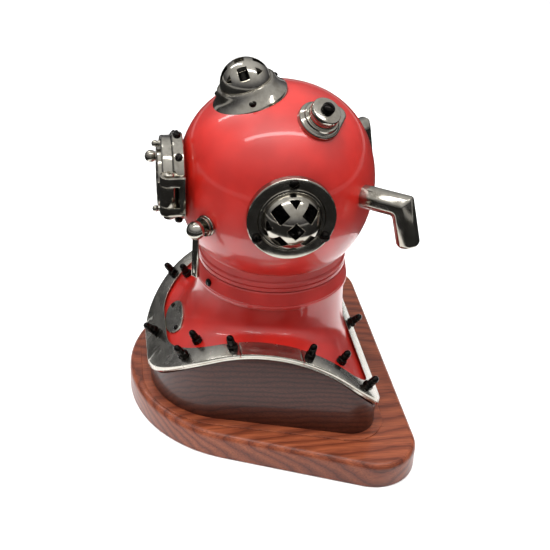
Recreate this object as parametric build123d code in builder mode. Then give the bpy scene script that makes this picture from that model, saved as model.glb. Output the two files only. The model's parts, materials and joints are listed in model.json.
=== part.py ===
"""Miniature deep-sea diving helmet with its breastplate on a two-tier hardwood stand.

Frame: +Z up, the face light looks along -Y and the diver's left is +X. The origin is where the neck
axis meets the underside of the plinth. Every size is in millimetres and every angle in degrees.
"""

import os
from math import acos, atan2, cos, degrees, hypot, radians, sin, sqrt

from build123d import *

os.makedirs("parts", exist_ok=True)

# Fits
RUN_GAP = 0.06  # radial clearance of a turning fit
BODY_GAP = 0.3  # clear distance between bodies that move apart
SLIT = 0.4  # seam between two straps

# Plinth: hull of one front circle and two back circles
PLINTH_H = 16.0
PLINTH_ROUND = 4.0
PLINTH_FRONT = (0.0, -5.0, 78.6)
PLINTH_BACK = (80.0, 49.0, 24.5)

# Riser block and the saddle that everything above it is bent to
SADDLE_R = 76.0  # radius of the straps' upper face, about an axis along X
SADDLE_TOP = 66.5
SADDLE_Y = -8.6
RIM_FRONT = (12.0, -24.0, 49.5)
RIM_BACK = (63.0, 38.0, 17.0)
RIM_INNER_FRONT = (12.0, -24.0, 38.0)
RIM_INNER_BACK = (58.5, 37.5, 9.8)
STRAP_T = 1.8
SHEET_T = 1.2
GASKET_T = 1.6
RISER_INSET = 2.0
RISER_ROUND = 3.0
GASKET_INSET = 1.2

# Wood screws from below
WOOD_SCREW_R = 2.0
WOOD_HEAD_R = 4.0
WOOD_HEAD_H = 2.4
WOOD_SCREW_L = 26.0
WOOD_HEAD_SINK = 1.0
WOOD_SCREW_SPOTS = ((0.0, -45.0), (-38.0, 25.0), (38.0, 25.0))

NECK_LOW_Z = 79.1

# Neck: breastplate ring below, helmet ring above, eighth-turn lugs inside
NECK_JOINT_Z = 89.7
NECK_TOP_Z = 96.7
NECK_BORE_R = 40.6
NECK_LOW_R = NECK_BORE_R + 3.8
NECK_HIGH_R = NECK_BORE_R + 1.8
SPIGOT_R = NECK_BORE_R - 1.7
SPIGOT_T = 1.8
LUG_GAP = 0.4  # radial room round the lugs
LUG_OUT_R = NECK_BORE_R - LUG_GAP
LUG_Z = 82.2
LUG_H = 2.2
LUG_COUNT = 4
LUG_ARC = 38.0
FLARE_T = 1.6
FLARE_TOP = (NECK_LOW_Z, 0.0, NECK_LOW_R - 1.2)  # height, shift along Y, radius
FLARE_RINGS = (FLARE_TOP, (66.0, -1.0, 44.4), (52.0, -4.0, 48.6), (36.0, -8.5, 55.0))

# Dome: three tangent arcs in each quarter of its outline
DOME_R = 55.0
DOME_WALL = 1.4
SHOULDER_R = 0.818 * DOME_R
SHOULDER_X = 0.153 * DOME_R
SHOULDER_Z = 0.138 * DOME_R
CROWN_H = 0.982 * DOME_R
COLLAR_R = NECK_BORE_R + 1.1
COLLAR_H = 3.84  # straight foot of the dome above the neck
DOME_FOOT = SHOULDER_Z + sqrt(SHOULDER_R**2 - (COLLAR_R - SHOULDER_X) ** 2)
DOME_Z = NECK_TOP_Z + COLLAR_H + DOME_FOOT
ROOT = 12.0  # how deep a casting starts inside the dome before the dome is taken out of it

# Lights (the helmet's windows)
LIGHT_Z = DOME_Z + 3.0
SIDE_FACE = DOME_R - 1.8  # distance of the frame's outer face from the dome's axis
SIDE_GUARD_R = 16.0
SIDE_GUARD_H = 0.81 * SIDE_GUARD_R
SIDE_R = SIDE_GUARD_R + 7.4
SIDE_SCREW_R = SIDE_GUARD_R + 4.6
SIDE_SCREWS = (90.0, 210.0, 330.0)
SIDE_TURN = 45.0  # how far the guard's bars are turned about its axis
TOP_TILT = 18.5
TOP_FACE = DOME_R + 5.0
TOP_FLANGE_T = 8.6  # how far the flat of the top light's rim is below its face
TOP_GUARD_R = 13.8
TOP_GUARD_H = 0.94 * TOP_GUARD_R
TOP_R = TOP_GUARD_R + 6.8
TOP_SCREW_R = TOP_GUARD_R + 4.3
TOP_SCREWS = (0.0, 120.0, 240.0)
TOP_TURN = 0.0
GUARD_STEP = 1.6  # guard ring beyond the foot of its shell
GUARD_RING_T = 2.0
GUARD_T = 2.0
BAR_W = 3.2
BAR_PITCH = 0.63  # distance between two bars over the guard's radius
COLLAR_T = 1.3  # frame's sleeve outside the guard ring
GLASS_T = 2.0
GLASS_STEP = 0.9
LIGHT_GASKET_T = 0.5
LEDGE_W = 1.6
LEDGE_T = 2.0

# Screws: head radius, head height, shank radius, shank length
PAN = (2.7, 2.2, 1.2, 4.5)
SMALL_PAN = (2.0, 1.6, 0.9, 3.5)
SLOT_W = 0.8
SLOT_D = 0.9

# Face light and its hinged door
DOOR_R = 22.6
FACE_SEAT = DOME_R - 3.1  # distance of the seat from the neck axis
FACE_R = DOOR_R + 1.5
FACE_T = 6.2
FACE_BORE_R = DOOR_R - 6.6
FACE_NECK_R = DOOR_R
FACE_SCREW_ANGLES = (50.0, 90.0, 130.0, 230.0, 270.0, 310.0)
FACE_SCREW = (2.1, 1.8, 1.1, 4.5)
DOOR_T = 5.6
DOOR_RIM_T = 2.4
DOOR_GLASS_R = DOOR_R - 5.6
DOOR_GLASS_T = 2.0
DOOR_LEDGE_W = 2.4
DOOR_GASKET_R = (DOOR_GLASS_R + 0.8, DOOR_GLASS_R + 3.4)
DOOR_GASKET_T = 0.9
GASKET_PROUD = 0.2
GRILLE_H = 3.6
GRILLE_T = 1.8
GRILLE_RIM_W = 3.4
GRILLE_BAR = 2.2
GRILLE_PITCH = 8.4
ACORN_SPOTS = (90.0, 270.0)
ACORN_AT = DOOR_R - 2.9
ACORN_R = 1.9
ACORN_SHANK = (1.0, 3.0)
HINGE_X = FACE_R - 0.1
HINGE_Y = -(FACE_SEAT + 8.9)
HINGE_Z = LIGHT_Z + 1.5
HINGE_R = 4.8
HINGE_H = 22.0
KNUCKLE_H = 11.6
HINGE_PIN_R = 1.5
HINGE_HEAD = (2.8, 1.6)
HINGE_NUT = (5.6, 3.0)
HINGE_BACK_Y = -(FACE_SEAT + 0.5)
HINGE_BACK_T = 3.0
CLAMP_X = -(FACE_R + 3.9)
CLAMP_Z = LIGHT_Z - 1.0
CLAMP_EAR_R = 4.2
CLAMP_EAR_T = 3.6
CLAMP_STEM_R = 1.5
CLAMP_BALL_R = 3.6
CLAMP_BALL_AT = FACE_SEAT + 15.9
CLAMP_COLLAR = (2.6, 0.8)

# Spitcock
SPIT_AZ = -50.0
SPIT_Z = DOME_Z - 8.6
SPIT_FLANGE_R = 5.9
SPIT_FACE = DOME_R + 2.6
SPIT_BALL_R = 5.0
SPIT_STEM_R = 3.0
SPIT_BALL_AT = SPIT_FACE + SPIT_BALL_R
SPIT_SPINDLE_R = 1.5
SPIT_SPINDLE_L = 5.0
SPIT_LEVER_L = 28.0
SPIT_LEVER_W = (3.2, 4.2)
SPIT_LEVER_T = 2.4
SPIT_TIP_R = 0.5

# Exhaust valve
VENT_DIR = (30.0, 17.0, 50.0)
VENT_POINT = (-1.0, 1.0, 0.26)  # which way the pad tapers, square to the valve's axis
VENT_PAD_R = 11.5
VENT_PAD_AT = DOME_R + 3.0  # height of the pad's face along the valve's axis
VENT_TAIL = (11.0, 5.0)  # distance and radius of the pad's tapered end
VENT_CAP_R = 8.0
VENT_SHOULDER = (VENT_CAP_R + 1.4, VENT_PAD_AT + 2.0)
VENT_FACE = VENT_PAD_AT + 8.0
VENT_KNOB_R = 3.4
VENT_KNOB_H = 3.4
VENT_STEM_R = 5.0
VENT_SPINDLE = (1.4, 4.0)

# Air elbows
ELBOW_AZ = 50.0
ELBOW_RISE = 3.0
ELBOW_Z = DOME_Z + 3.2
ELBOW_FLATS = 10.6
ELBOW_REACH = DOME_R + 22.0
ELBOW_DROP = (6.2, -22.0)
ELBOW_SIDES = 8
ELBOW_CHAMFER = 1.6

# Studs with a hex nut and a cap nut
STUD_R = 1.3
STUD_DEPTH = 7.0
STUD_TOP = 9.0
NUT_FLATS = 4.6
NUT_H = 3.0
CAP_R = 1.9
CAP_H = 3.4
SEAM_FRONT_Y = -25.0
SEAM_BACK_Y = 8.0
STRAP_STUDS = ((0.0, -67.7), (43.9, -53.9), (55.6, -28.5), (67.0, 12.0), (72.4, 44.0), (0.0, 51.2))
PLATE_STUDS = ((35.5, -45.5), (59.0, 31.5))

# Blank oval plate on the chest
OVAL_AT = (0.0, -54.5, 51.5)
OVAL_TILT = 48.0
OVAL_SIZE = (15.0, 7.6)
OVAL_T = 0.8
OVAL_SCREW_X = 11.8
OVAL_REACH = 8.0
OVAL_SCREW = (1.5, 1.2, 0.8, 2.0)

# Lock screw and pins of the neck
LOCK_AZ = -62.0
LOCK_Z = 84.6
LOCK_SCREW = (2.3, 1.7, 1.0, 2.4)


def save(built, node):
    """Label a built part and write it as its own node."""
    built.part.label = node
    export_step(built.part, f"parts/{node}.step")


def section(plane):
    """Plane through another's axis: its X runs outwards from that axis and its Y along it."""
    return Plane(origin=plane.origin, x_dir=plane.x_dir, z_dir=-plane.y_dir)


def turned(plane, outline, mode=Mode.ADD):
    """Turn an outline of (radius, height) corners about the plane's own axis."""
    with BuildSketch(section(plane)) as profile:
        with BuildLine():
            Polyline(*outline, close=True)
        make_face()
    revolve(profile.sketch, axis=Axis(plane.origin, plane.z_dir), mode=mode)


def drum(plane, radius, low, high, mode=Mode.ADD):
    """Straight cylinder on the plane's axis between two heights."""
    turned(plane, ((0, low), (radius, low), (radius, high), (0, high)), mode)


def tube(plane, inner, outer, low, high, mode=Mode.ADD):
    """Straight ring on the plane's axis between two heights."""
    turned(plane, ((inner, low), (outer, low), (outer, high), (inner, high)), mode)


def around(plane, radius, angles, height):
    """Planes parallel to the given one, set on a circle about its axis."""
    spots = []
    for angle in angles:
        step = Vector(radius * cos(radians(angle)), radius * sin(radians(angle)), height)
        spots.append(Plane(origin=plane.from_local_coords(step), x_dir=plane.x_dir, z_dir=plane.z_dir))
    return spots


def hull_face(height, front, back, inset=0.0):
    """Sketch on a level: hull of two mirrored pairs of circles, drawn in by an inset."""
    (front_x, front_y, front_r), (back_x, back_y, back_r) = front, back
    front_r -= inset
    back_r -= inset
    run, climb = back_x - front_x, back_y - front_y
    flank = degrees(atan2(climb, run) - acos((front_r - back_r) / hypot(run, climb)))

    def on_front(angle):
        return (front_x + front_r * cos(radians(angle)), front_y + front_r * sin(radians(angle)))

    def on_back(angle):
        return (back_x + back_r * cos(radians(angle)), back_y + back_r * sin(radians(angle)))

    with BuildSketch(Plane.XY.offset(height)) as plan:
        with BuildLine():
            if front_x:
                Line((0, front_y - front_r), on_front(-90))
            ThreePointArc(on_front(-90), on_front((flank - 90) / 2), on_front(flank))
            Line(on_front(flank), on_back(flank))
            ThreePointArc(on_back(flank), on_back((flank + 90) / 2), on_back(90))
            Line(on_back(90), (0, back_y + back_r))
            mirror(about=Plane.YZ)
        make_face()
    return plan.sketch


def saddle_drum(radius, mode):
    """Cylinder about the saddle's axis, wider than the stand."""
    axis_plane = Plane(origin=(0, SADDLE_Y, SADDLE_TOP - SADDLE_R), x_dir=(0, 1, 0), z_dir=(1, 0, 0))
    drum(axis_plane, radius, -1.5 * PLINTH_BACK[0], 1.5 * PLINTH_BACK[0], mode)


def saddle_plane(x, y, radius):
    """Plane square to the saddle at a point given in plan."""
    lean = (y - SADDLE_Y) / radius
    rise = sqrt(1 - lean * lean)
    height = SADDLE_TOP - SADDLE_R + radius * rise
    return Plane(origin=(x, y, height), x_dir=(1, 0, 0), z_dir=(0, lean, rise))


def flare(inset, mode=Mode.ADD):
    """Solid skirt from the neck down to the rim, drawn in by an inset."""
    rings = []
    for height, shift, radius in FLARE_RINGS:
        with BuildSketch(Plane.XY.offset(height), mode=Mode.PRIVATE) as ring:
            with Locations((0, shift)):
                Circle(radius - inset)
        rings.append(ring.sketch)
    loft(rings, mode=mode)


def mirrored(spots):
    """Each plan point and, where it is off the middle, its mirror image."""
    both = []
    for x, y in spots:
        both.append((x, y))
        if x:
            both.append((-x, y))
    return both


def dome_outline(inset):
    """Corners of the dome's half outline, drawn in by an inset, from the crown to the neck."""
    reach = DOME_R - SHOULDER_R
    rise = CROWN_H - SHOULDER_R
    square = SHOULDER_X**2 + SHOULDER_Z**2
    side_back = (square - reach**2) / (2 * (reach - SHOULDER_X))
    crown_down = (square - rise**2) / (2 * (rise - SHOULDER_Z))
    shoulder = SHOULDER_R - inset
    low = atan2(SHOULDER_Z, SHOULDER_X + side_back)
    high = atan2(SHOULDER_Z + crown_down, SHOULDER_X)
    crown = CROWN_H + crown_down - inset
    half = (high + radians(90)) / 2
    middle = (high + low) / 2
    foot = -atan2(sqrt(shoulder**2 - (COLLAR_R - inset - SHOULDER_X) ** 2), COLLAR_R - inset - SHOULDER_X)
    lower = (foot - low) / 2
    return (
        (0, CROWN_H - inset),
        (crown * cos(half), crown * sin(half) - crown_down),
        (SHOULDER_X + shoulder * cos(high), SHOULDER_Z + shoulder * sin(high)),
        (SHOULDER_X + shoulder * cos(middle), SHOULDER_Z + shoulder * sin(middle)),
        (SHOULDER_X + shoulder * cos(low), SHOULDER_Z + shoulder * sin(low)),
        (DOME_R - inset, 0),
        (SHOULDER_X + shoulder * cos(low), -SHOULDER_Z - shoulder * sin(low)),
        (SHOULDER_X + shoulder * cos(lower), -SHOULDER_Z + shoulder * sin(lower)),
        (COLLAR_R - inset, -SHOULDER_Z + shoulder * sin(foot)),
    )


def dome_body(inset, mode=Mode.ADD):
    """Solid dome down to the top of the neck ring."""
    corners = [(x, y + DOME_Z) for x, y in dome_outline(inset)]
    with BuildSketch(section(Plane.XY)) as half:
        with BuildLine():
            for start in range(0, 8, 2):
                ThreePointArc(*corners[start : start + 3])
            Polyline(corners[8], (COLLAR_R - inset, NECK_TOP_Z), (0, NECK_TOP_Z), corners[0])
        make_face()
    revolve(half.sketch, axis=Axis.Z, mode=mode)


def pan_screws(planes, size):
    """Slotted pan-head screws, the head above each plane and the shank below it."""
    head_r, head_h, shank_r, shank_l = size
    with BuildPart() as screws:
        for plane in planes:
            crown = ((head_r, 0), (head_r, 0.5 * head_h), (0.6 * head_r, head_h), (0, head_h))
            turned(plane, ((0, -shank_l), (shank_r, -shank_l), (shank_r, 0)) + crown)
            with BuildSketch(plane.offset(head_h - SLOT_D)):
                Rectangle(3 * head_r, SLOT_W)
            extrude(amount=2 * SLOT_D, mode=Mode.SUBTRACT)
    return screws


def screw_holes(planes, size):
    """Take the room for heads and shanks out of the part being built."""
    head_r, head_h, shank_r, shank_l = size
    for plane in planes:
        drum(plane, shank_r, -shank_l, 0.1, Mode.SUBTRACT)
        drum(plane, head_r + SLIT / 2, 0, 3 * head_h, Mode.SUBTRACT)


def light_frame(plane, face, flank, ring_r, screws, size):
    """Cast frame of one light, seated on the dome, with a sleeve through its wall."""
    collar_r = ring_r + COLLAR_T
    glass_r = ring_r - GLASS_STEP
    step = face - GUARD_RING_T
    bed = step - GLASS_T
    ledge = bed - LIGHT_GASKET_T
    with BuildPart() as frame:
        corners = [(radius, face + drop) for radius, drop in flank]
        root = [(ring_r, face - 3 * GUARD_RING_T), (flank[0][0], DOME_R - ROOT)]
        turned(plane, root + corners + [(ring_r, face)])
        dome_body(0, Mode.SUBTRACT)
        foot = ledge - LEDGE_T
        drum(plane, collar_r, foot, face - 0.5)
        drum(plane, ring_r, step, face + 1, Mode.SUBTRACT)
        drum(plane, glass_r, ledge, face, Mode.SUBTRACT)
        drum(plane, glass_r - LEDGE_W, foot - 1, face, Mode.SUBTRACT)
        screw_holes(screws, size)
    return frame


def light_guard(plane, face, ring_r, radius, rise, turn):
    """Domed guard: a ring, a shell and four crossing bars cut from it."""
    ball = (radius**2 + rise**2) / (2 * rise)
    centre = face + rise - ball
    inner = ball - GUARD_T
    inner_foot = sqrt(inner**2 - (face - centre) ** 2)
    with BuildPart() as guard:
        tube(plane, inner_foot, ring_r, face - GUARD_RING_T, face)
        with BuildSketch(section(plane)):
            with BuildLine():
                slope = radians(45)
                outer_mid = (ball * sin(slope), centre + ball * cos(slope))
                inner_mid = (inner * sin(slope), centre + inner * cos(slope))
                ThreePointArc((radius, face), outer_mid, (0, face + rise))
                Line((0, face + rise), (0, face + rise - GUARD_T))
                ThreePointArc((0, face + rise - GUARD_T), inner_mid, (inner_foot, face))
                Line((inner_foot, face), (radius, face))
            make_face()
        revolve(axis=Axis(plane.origin, plane.z_dir))
        with BuildSketch(plane.offset(face + 0.2)):
            Circle(inner_foot - 0.4)
            for angle in (turn, turn + 90):
                for side in (-1, 1):
                    away = side * BAR_PITCH * radius / 2
                    with Locations((away * cos(radians(angle)), away * sin(radians(angle)))):
                        Rectangle(BAR_W, 4 * radius, rotation=angle, mode=Mode.SUBTRACT)
        extrude(amount=2 * rise, mode=Mode.SUBTRACT)
    return guard


def light_glass(plane, face, ring_r):
    """Flat disc of glass under the guard's ring."""
    with BuildPart() as glass:
        drum(plane, ring_r - GLASS_STEP, face - GUARD_RING_T - GLASS_T, face - GUARD_RING_T)
    return glass


def light_gasket(plane, face, ring_r):
    """Rubber ring between the frame's ledge and the glass."""
    bed = face - GUARD_RING_T - GLASS_T
    glass_r = ring_r - GLASS_STEP
    with BuildPart() as gasket:
        tube(plane, glass_r - LEDGE_W, glass_r, bed - LIGHT_GASKET_T, bed)
    return gasket


# Planes of the lights and fittings, each axis pointing away from the dome
LEFT = Plane(origin=(0, 0, LIGHT_Z), x_dir=(0, 1, 0), z_dir=(1, 0, 0))
RIGHT = Plane(origin=(0, 0, LIGHT_Z), x_dir=(0, -1, 0), z_dir=(-1, 0, 0))
LEAN = radians(TOP_TILT)
TOP = Plane(origin=(0, 0, DOME_Z), x_dir=(1, 0, 0), z_dir=(0, -sin(LEAN), cos(LEAN)))
FACE = Plane(origin=(0, 0, LIGHT_Z), x_dir=(1, 0, 0), z_dir=(0, -1, 0))
SPIT_X = cos(radians(SPIT_AZ))
SPIT_Y = sin(radians(SPIT_AZ))
SPIT = Plane(origin=(0, 0, SPIT_Z), x_dir=(-SPIT_Y, SPIT_X, 0), z_dir=(SPIT_X, SPIT_Y, 0))
VENT = Plane(origin=(0, 0, DOME_Z), x_dir=VENT_POINT, z_dir=VENT_DIR)

# Stand
WOOD_SCREWS = [
    Plane(origin=(x, y, WOOD_HEAD_SINK + WOOD_HEAD_H), x_dir=(1, 0, 0), z_dir=(0, 0, -1))
    for x, y in WOOD_SCREW_SPOTS
]
WOOD_SCREW = (WOOD_HEAD_R, WOOD_HEAD_H, WOOD_SCREW_R, WOOD_SCREW_L)
STUD_PLANES = [saddle_plane(x, y, SADDLE_R) for x, y in mirrored(STRAP_STUDS)]
PLATE_PLANES = [saddle_plane(x, y, SADDLE_R - STRAP_T) for x, y in mirrored(PLATE_STUDS)]


def stud_holes():
    """Holes for every stud in the part being built."""
    for plane in STUD_PLANES + PLATE_PLANES:
        drum(plane, STUD_R, -STUD_DEPTH, STUD_TOP, Mode.SUBTRACT)


with BuildPart() as plinth:
    extrude(hull_face(0, PLINTH_FRONT, PLINTH_BACK), amount=PLINTH_H)
    fillet(plinth.faces().sort_by(Axis.Z)[-1].edges(), PLINTH_ROUND)
    screw_holes(WOOD_SCREWS, WOOD_SCREW)
save(plinth, "plinth")

with BuildPart() as riser:
    extrude(hull_face(PLINTH_H, RIM_FRONT, RIM_BACK, RISER_INSET), amount=SADDLE_TOP)
    saddle_drum(SADDLE_R - STRAP_T - SHEET_T - GASKET_T, Mode.INTERSECT)
    top_edges = riser.faces().filter_by(GeomType.CYLINDER).sort_by(SortBy.AREA)[-1].edges()
    fillet(top_edges, RISER_ROUND)
    screw_holes(WOOD_SCREWS, WOOD_SCREW)
    stud_holes()
save(riser, "riser_block")

wood_screws = pan_screws(WOOD_SCREWS, WOOD_SCREW)
save(wood_screws, "stand_screws")

with BuildPart() as band:
    edge = RISER_INSET + RISER_ROUND + GASKET_INSET
    extrude(hull_face(0, RIM_FRONT, RIM_BACK, edge), amount=SADDLE_TOP)
    extrude(hull_face(0, RIM_INNER_FRONT, RIM_INNER_BACK), amount=SADDLE_TOP, mode=Mode.SUBTRACT)
    saddle_drum(SADDLE_R - STRAP_T - SHEET_T, Mode.INTERSECT)
    saddle_drum(SADDLE_R - STRAP_T - SHEET_T - GASKET_T, Mode.SUBTRACT)
    stud_holes()
save(band, "gasket_band")

# Plane of the oval plate on the chest, and its screws
OVAL = Plane(
    origin=OVAL_AT, x_dir=(1, 0, 0), z_dir=(0, -sin(radians(OVAL_TILT)), cos(radians(OVAL_TILT)))
)
OVAL_SCREWS = []
for side in (-1, 1):
    spot = OVAL.from_local_coords(Vector(side * OVAL_SCREW_X, 0, OVAL_T))
    OVAL_SCREWS.append(Plane(origin=spot, x_dir=OVAL.x_dir, z_dir=OVAL.z_dir))

# Breastplate: a flared neck joined to a rim bent over the saddle
with BuildPart() as breastplate:
    extrude(hull_face(0, RIM_FRONT, RIM_BACK), amount=SADDLE_TOP)
    saddle_drum(SADDLE_R - STRAP_T, Mode.INTERSECT)
    for inset, mode in ((0, Mode.ADD), (FLARE_T, Mode.SUBTRACT)):
        flare(inset, mode)
    saddle_drum(SADDLE_R - STRAP_T - SHEET_T, Mode.SUBTRACT)
    stud_holes()
    for spot in OVAL_SCREWS:
        drum(spot, OVAL_SCREW[2], -OVAL_SCREW[3], 1, Mode.SUBTRACT)
save(breastplate, "breastplate")


def strap(front_y, back_y, sides=(-1, 1)):
    """Part of the clamping band between two seams, on one or both sides of the helmet."""
    length = back_y - front_y
    with BuildPart() as piece:
        extrude(hull_face(0, RIM_FRONT, RIM_BACK), amount=2 * SADDLE_TOP)
        inner = hull_face(0, RIM_INNER_FRONT, RIM_INNER_BACK)
        extrude(inner, amount=2 * SADDLE_TOP, mode=Mode.SUBTRACT)
        saddle_drum(SADDLE_R, Mode.INTERSECT)
        saddle_drum(SADDLE_R - STRAP_T, Mode.SUBTRACT)
        width = 2 * RIM_BACK[0] + 2 * RIM_BACK[2]
        shift = 0 if len(sides) == 2 else sides[0] * width / 2
        with Locations((shift, (front_y + back_y) / 2, 0)):
            Box(width, length, 4 * SADDLE_TOP, mode=Mode.INTERSECT)
        stud_holes()
    return piece


EDGE_Y = 2 * SADDLE_R
save(strap(-EDGE_Y, SEAM_FRONT_Y - SLIT / 2), "strap_front")
save(strap(SEAM_BACK_Y + SLIT / 2, EDGE_Y), "strap_back")
save(strap(SEAM_FRONT_Y + SLIT / 2, SEAM_BACK_Y - SLIT / 2, (1,)), "strap_left")
save(strap(SEAM_FRONT_Y + SLIT / 2, SEAM_BACK_Y - SLIT / 2, (-1,)), "strap_right")


def studs(planes):
    """Plain studs standing up through the rim."""
    with BuildPart() as rods:
        for plane in planes:
            drum(plane, STUD_R, -STUD_DEPTH, STUD_TOP)
    return rods


def hex_nuts(planes):
    """Hexagon nuts round the studs, resting on the rim."""
    with BuildPart() as nuts:
        for plane in planes:
            with BuildSketch(plane):
                RegularPolygon(NUT_FLATS / 2, 6, major_radius=False)
                Circle(STUD_R, mode=Mode.SUBTRACT)
            extrude(amount=NUT_H)
    return nuts


def cap_nuts(planes):
    """Round collars above the hexagon nuts."""
    with BuildPart() as caps:
        for plane in planes:
            low = NUT_H
            high = NUT_H + CAP_H
            waist = 0.8 * CAP_R
            outline = ((STUD_R, low), (CAP_R, low), (CAP_R, high - 0.8), (waist, high), (STUD_R, high))
            turned(plane, outline)
    return caps


for prefix, planes in (("strap", STUD_PLANES), ("rim", PLATE_PLANES)):
    save(studs(planes), f"{prefix}_studs")
    save(hex_nuts(planes), f"{prefix}_hex_nuts")
    save(cap_nuts(planes), f"{prefix}_cap_nuts")


# Oval plate: cut from a skin over the flare, so it lies against the chest
with BuildPart() as name_plate:
    flare(-OVAL_T)
    with BuildSketch(OVAL):
        Ellipse(*OVAL_SIZE)
    extrude(amount=OVAL_REACH, both=True, mode=Mode.INTERSECT)
    flare(0, Mode.SUBTRACT)
    saddle_drum(SADDLE_R - STRAP_T, Mode.SUBTRACT)
    screw_holes(OVAL_SCREWS, OVAL_SCREW)
save(name_plate, "chest_plate")
save(pan_screws(OVAL_SCREWS, OVAL_SCREW), "chest_plate_screws")

def wedges(inner, outer, low, high, turn, mode=Mode.ADD):
    """Equally spaced arcs of a ring between two heights."""
    with BuildSketch(Plane.XY.offset(low)) as arcs:
        for number in range(LUG_COUNT):
            middle = turn + number * 360 / LUG_COUNT
            reach = 2 * outer
            corners = [
                (reach * cos(radians(middle + side)), reach * sin(radians(middle + side)))
                for side in (-LUG_ARC / 2, LUG_ARC / 2)
            ]
            with BuildLine():
                Polyline((0, 0), *corners, close=True)
            make_face()
        Circle(outer, mode=Mode.INTERSECT)
        Circle(inner, mode=Mode.SUBTRACT)
    extrude(arcs.sketch, amount=high - low, mode=mode)


# Breastplate ring: a red band with four inner ledges that hold the helmet's lugs
LOCK_X = cos(radians(LOCK_AZ))
LOCK_Y = sin(radians(LOCK_AZ))
LOCK_FACE = (NECK_LOW_R + NECK_HIGH_R) / 2
LOCK_SPOT = (LOCK_FACE * LOCK_X, LOCK_FACE * LOCK_Y, LOCK_Z)
LOCK = Plane(origin=LOCK_SPOT, x_dir=(0, 0, 1), z_dir=(LOCK_X, LOCK_Y, 0))
with BuildPart() as neck_low:
    high = NECK_JOINT_Z
    outline = (
        (NECK_BORE_R, NECK_LOW_Z),
        (NECK_LOW_R - 0.6, NECK_LOW_Z),
        (NECK_LOW_R, NECK_LOW_Z + 0.6),
        (NECK_LOW_R, NECK_LOW_Z + 2.6),
        (NECK_HIGH_R + 0.4, high - 0.6),
        (NECK_HIGH_R - 0.2, high),
        (NECK_BORE_R, high),
    )
    turned(Plane.XY, outline)
    ledge_low = LUG_Z + LUG_H + BODY_GAP
    wedges(SPIGOT_R + RUN_GAP, NECK_BORE_R + 0.5, ledge_low, ledge_low + LUG_H, 0)
    screw_holes([LOCK], LOCK_SCREW)
save(neck_low, "breastplate_ring")
save(pan_screws([LOCK], LOCK_SCREW), "lock_screw")

with BuildPart() as neck_high:
    low = NECK_JOINT_Z + BODY_GAP
    outline = (
        (SPIGOT_R - SPIGOT_T, LUG_Z),
        (SPIGOT_R, LUG_Z),
        (SPIGOT_R, low),
        (NECK_HIGH_R - 0.6, low),
        (NECK_HIGH_R, low + 0.6),
        (NECK_HIGH_R, NECK_TOP_Z - 1.2),
        (NECK_HIGH_R - 0.9, NECK_TOP_Z - 0.3),
        (NECK_HIGH_R - 0.9, NECK_TOP_Z),
        (SPIGOT_R - SPIGOT_T, NECK_TOP_Z),
    )
    turned(Plane.XY, outline)
    wedges(SPIGOT_R - 0.5, LUG_OUT_R, LUG_Z, LUG_Z + LUG_H, 0)
save(neck_high, "helmet_ring")

# Lights: name, plane, outer face, guard ring, guard radius and rise, turn, flank, screw planes, screw size
SIDE_FLANK = ((SIDE_R, -0.8), (SIDE_R - 0.8, 0))
TOP_FLANK = (
    (TOP_R, -TOP_FLANGE_T),
    (TOP_R - 0.8, -TOP_FLANGE_T + 1.2),
    (TOP_R - 3.6, -TOP_FLANGE_T + 3.4),
    (TOP_R - 4.3, -1.0),
    (TOP_R - 4.8, 0),
)
LIGHTS = (
    ("left", LEFT, SIDE_FACE, SIDE_GUARD_R, SIDE_GUARD_H, SIDE_TURN, SIDE_FLANK,
     around(LEFT, SIDE_SCREW_R, SIDE_SCREWS, SIDE_FACE), PAN),
    ("right", RIGHT, SIDE_FACE, SIDE_GUARD_R, SIDE_GUARD_H, SIDE_TURN, SIDE_FLANK,
     around(RIGHT, SIDE_SCREW_R, SIDE_SCREWS, SIDE_FACE), PAN),
    ("top", TOP, TOP_FACE, TOP_GUARD_R, TOP_GUARD_H, TOP_TURN, TOP_FLANK,
     around(TOP, TOP_SCREW_R, TOP_SCREWS, TOP_FACE - TOP_FLANGE_T + 1.0), SMALL_PAN),
)
for name, plane, face, guard_r, rise, turn, flank, screws, size in LIGHTS:
    ring_r = guard_r + GUARD_STEP
    save(light_frame(plane, face, flank, ring_r, screws, size), f"{name}_light_frame")
    save(light_guard(plane, face, ring_r, guard_r, rise, turn), f"{name}_light_guard")
    save(light_glass(plane, face, ring_r), f"{name}_light_glass")
    save(light_gasket(plane, face, ring_r), f"{name}_light_gasket")
    save(pan_screws(screws, size), f"{name}_light_screws")

# Face light: flange on the dome's front and a door on a vertical hinge
FACE_SCREWS = []
for angle in FACE_SCREW_ANGLES:
    out = Vector(cos(radians(angle)), 0, sin(radians(angle)))
    spot = Vector(0, -FACE_SEAT - FACE_T / 2, LIGHT_Z) + out * FACE_R
    FACE_SCREWS.append(Plane(origin=spot, x_dir=FACE.z_dir, z_dir=out))
with BuildPart() as dome:
    dome_body(0)
    drum(FACE, FACE_NECK_R, SHOULDER_R, FACE_SEAT)
    drum(FACE, FACE_NECK_R, FACE_SEAT, 2 * DOME_R, Mode.SUBTRACT)
    dome_body(DOME_WALL, Mode.SUBTRACT)
    drum(FACE, FACE_BORE_R + COLLAR_T, 0, 2 * DOME_R, Mode.SUBTRACT)
    for name, plane, face, guard_r, rise, turn, flank, screws, size in LIGHTS:
        drum(plane, guard_r + GUARD_STEP + COLLAR_T, 0, 2 * DOME_R, Mode.SUBTRACT)
        screw_holes(screws, size)
    drum(SPIT, SPIT_STEM_R, 0, 2 * DOME_R, Mode.SUBTRACT)
    drum(VENT, VENT_STEM_R, 0, 2 * DOME_R, Mode.SUBTRACT)
save(dome, "dome")

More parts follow.
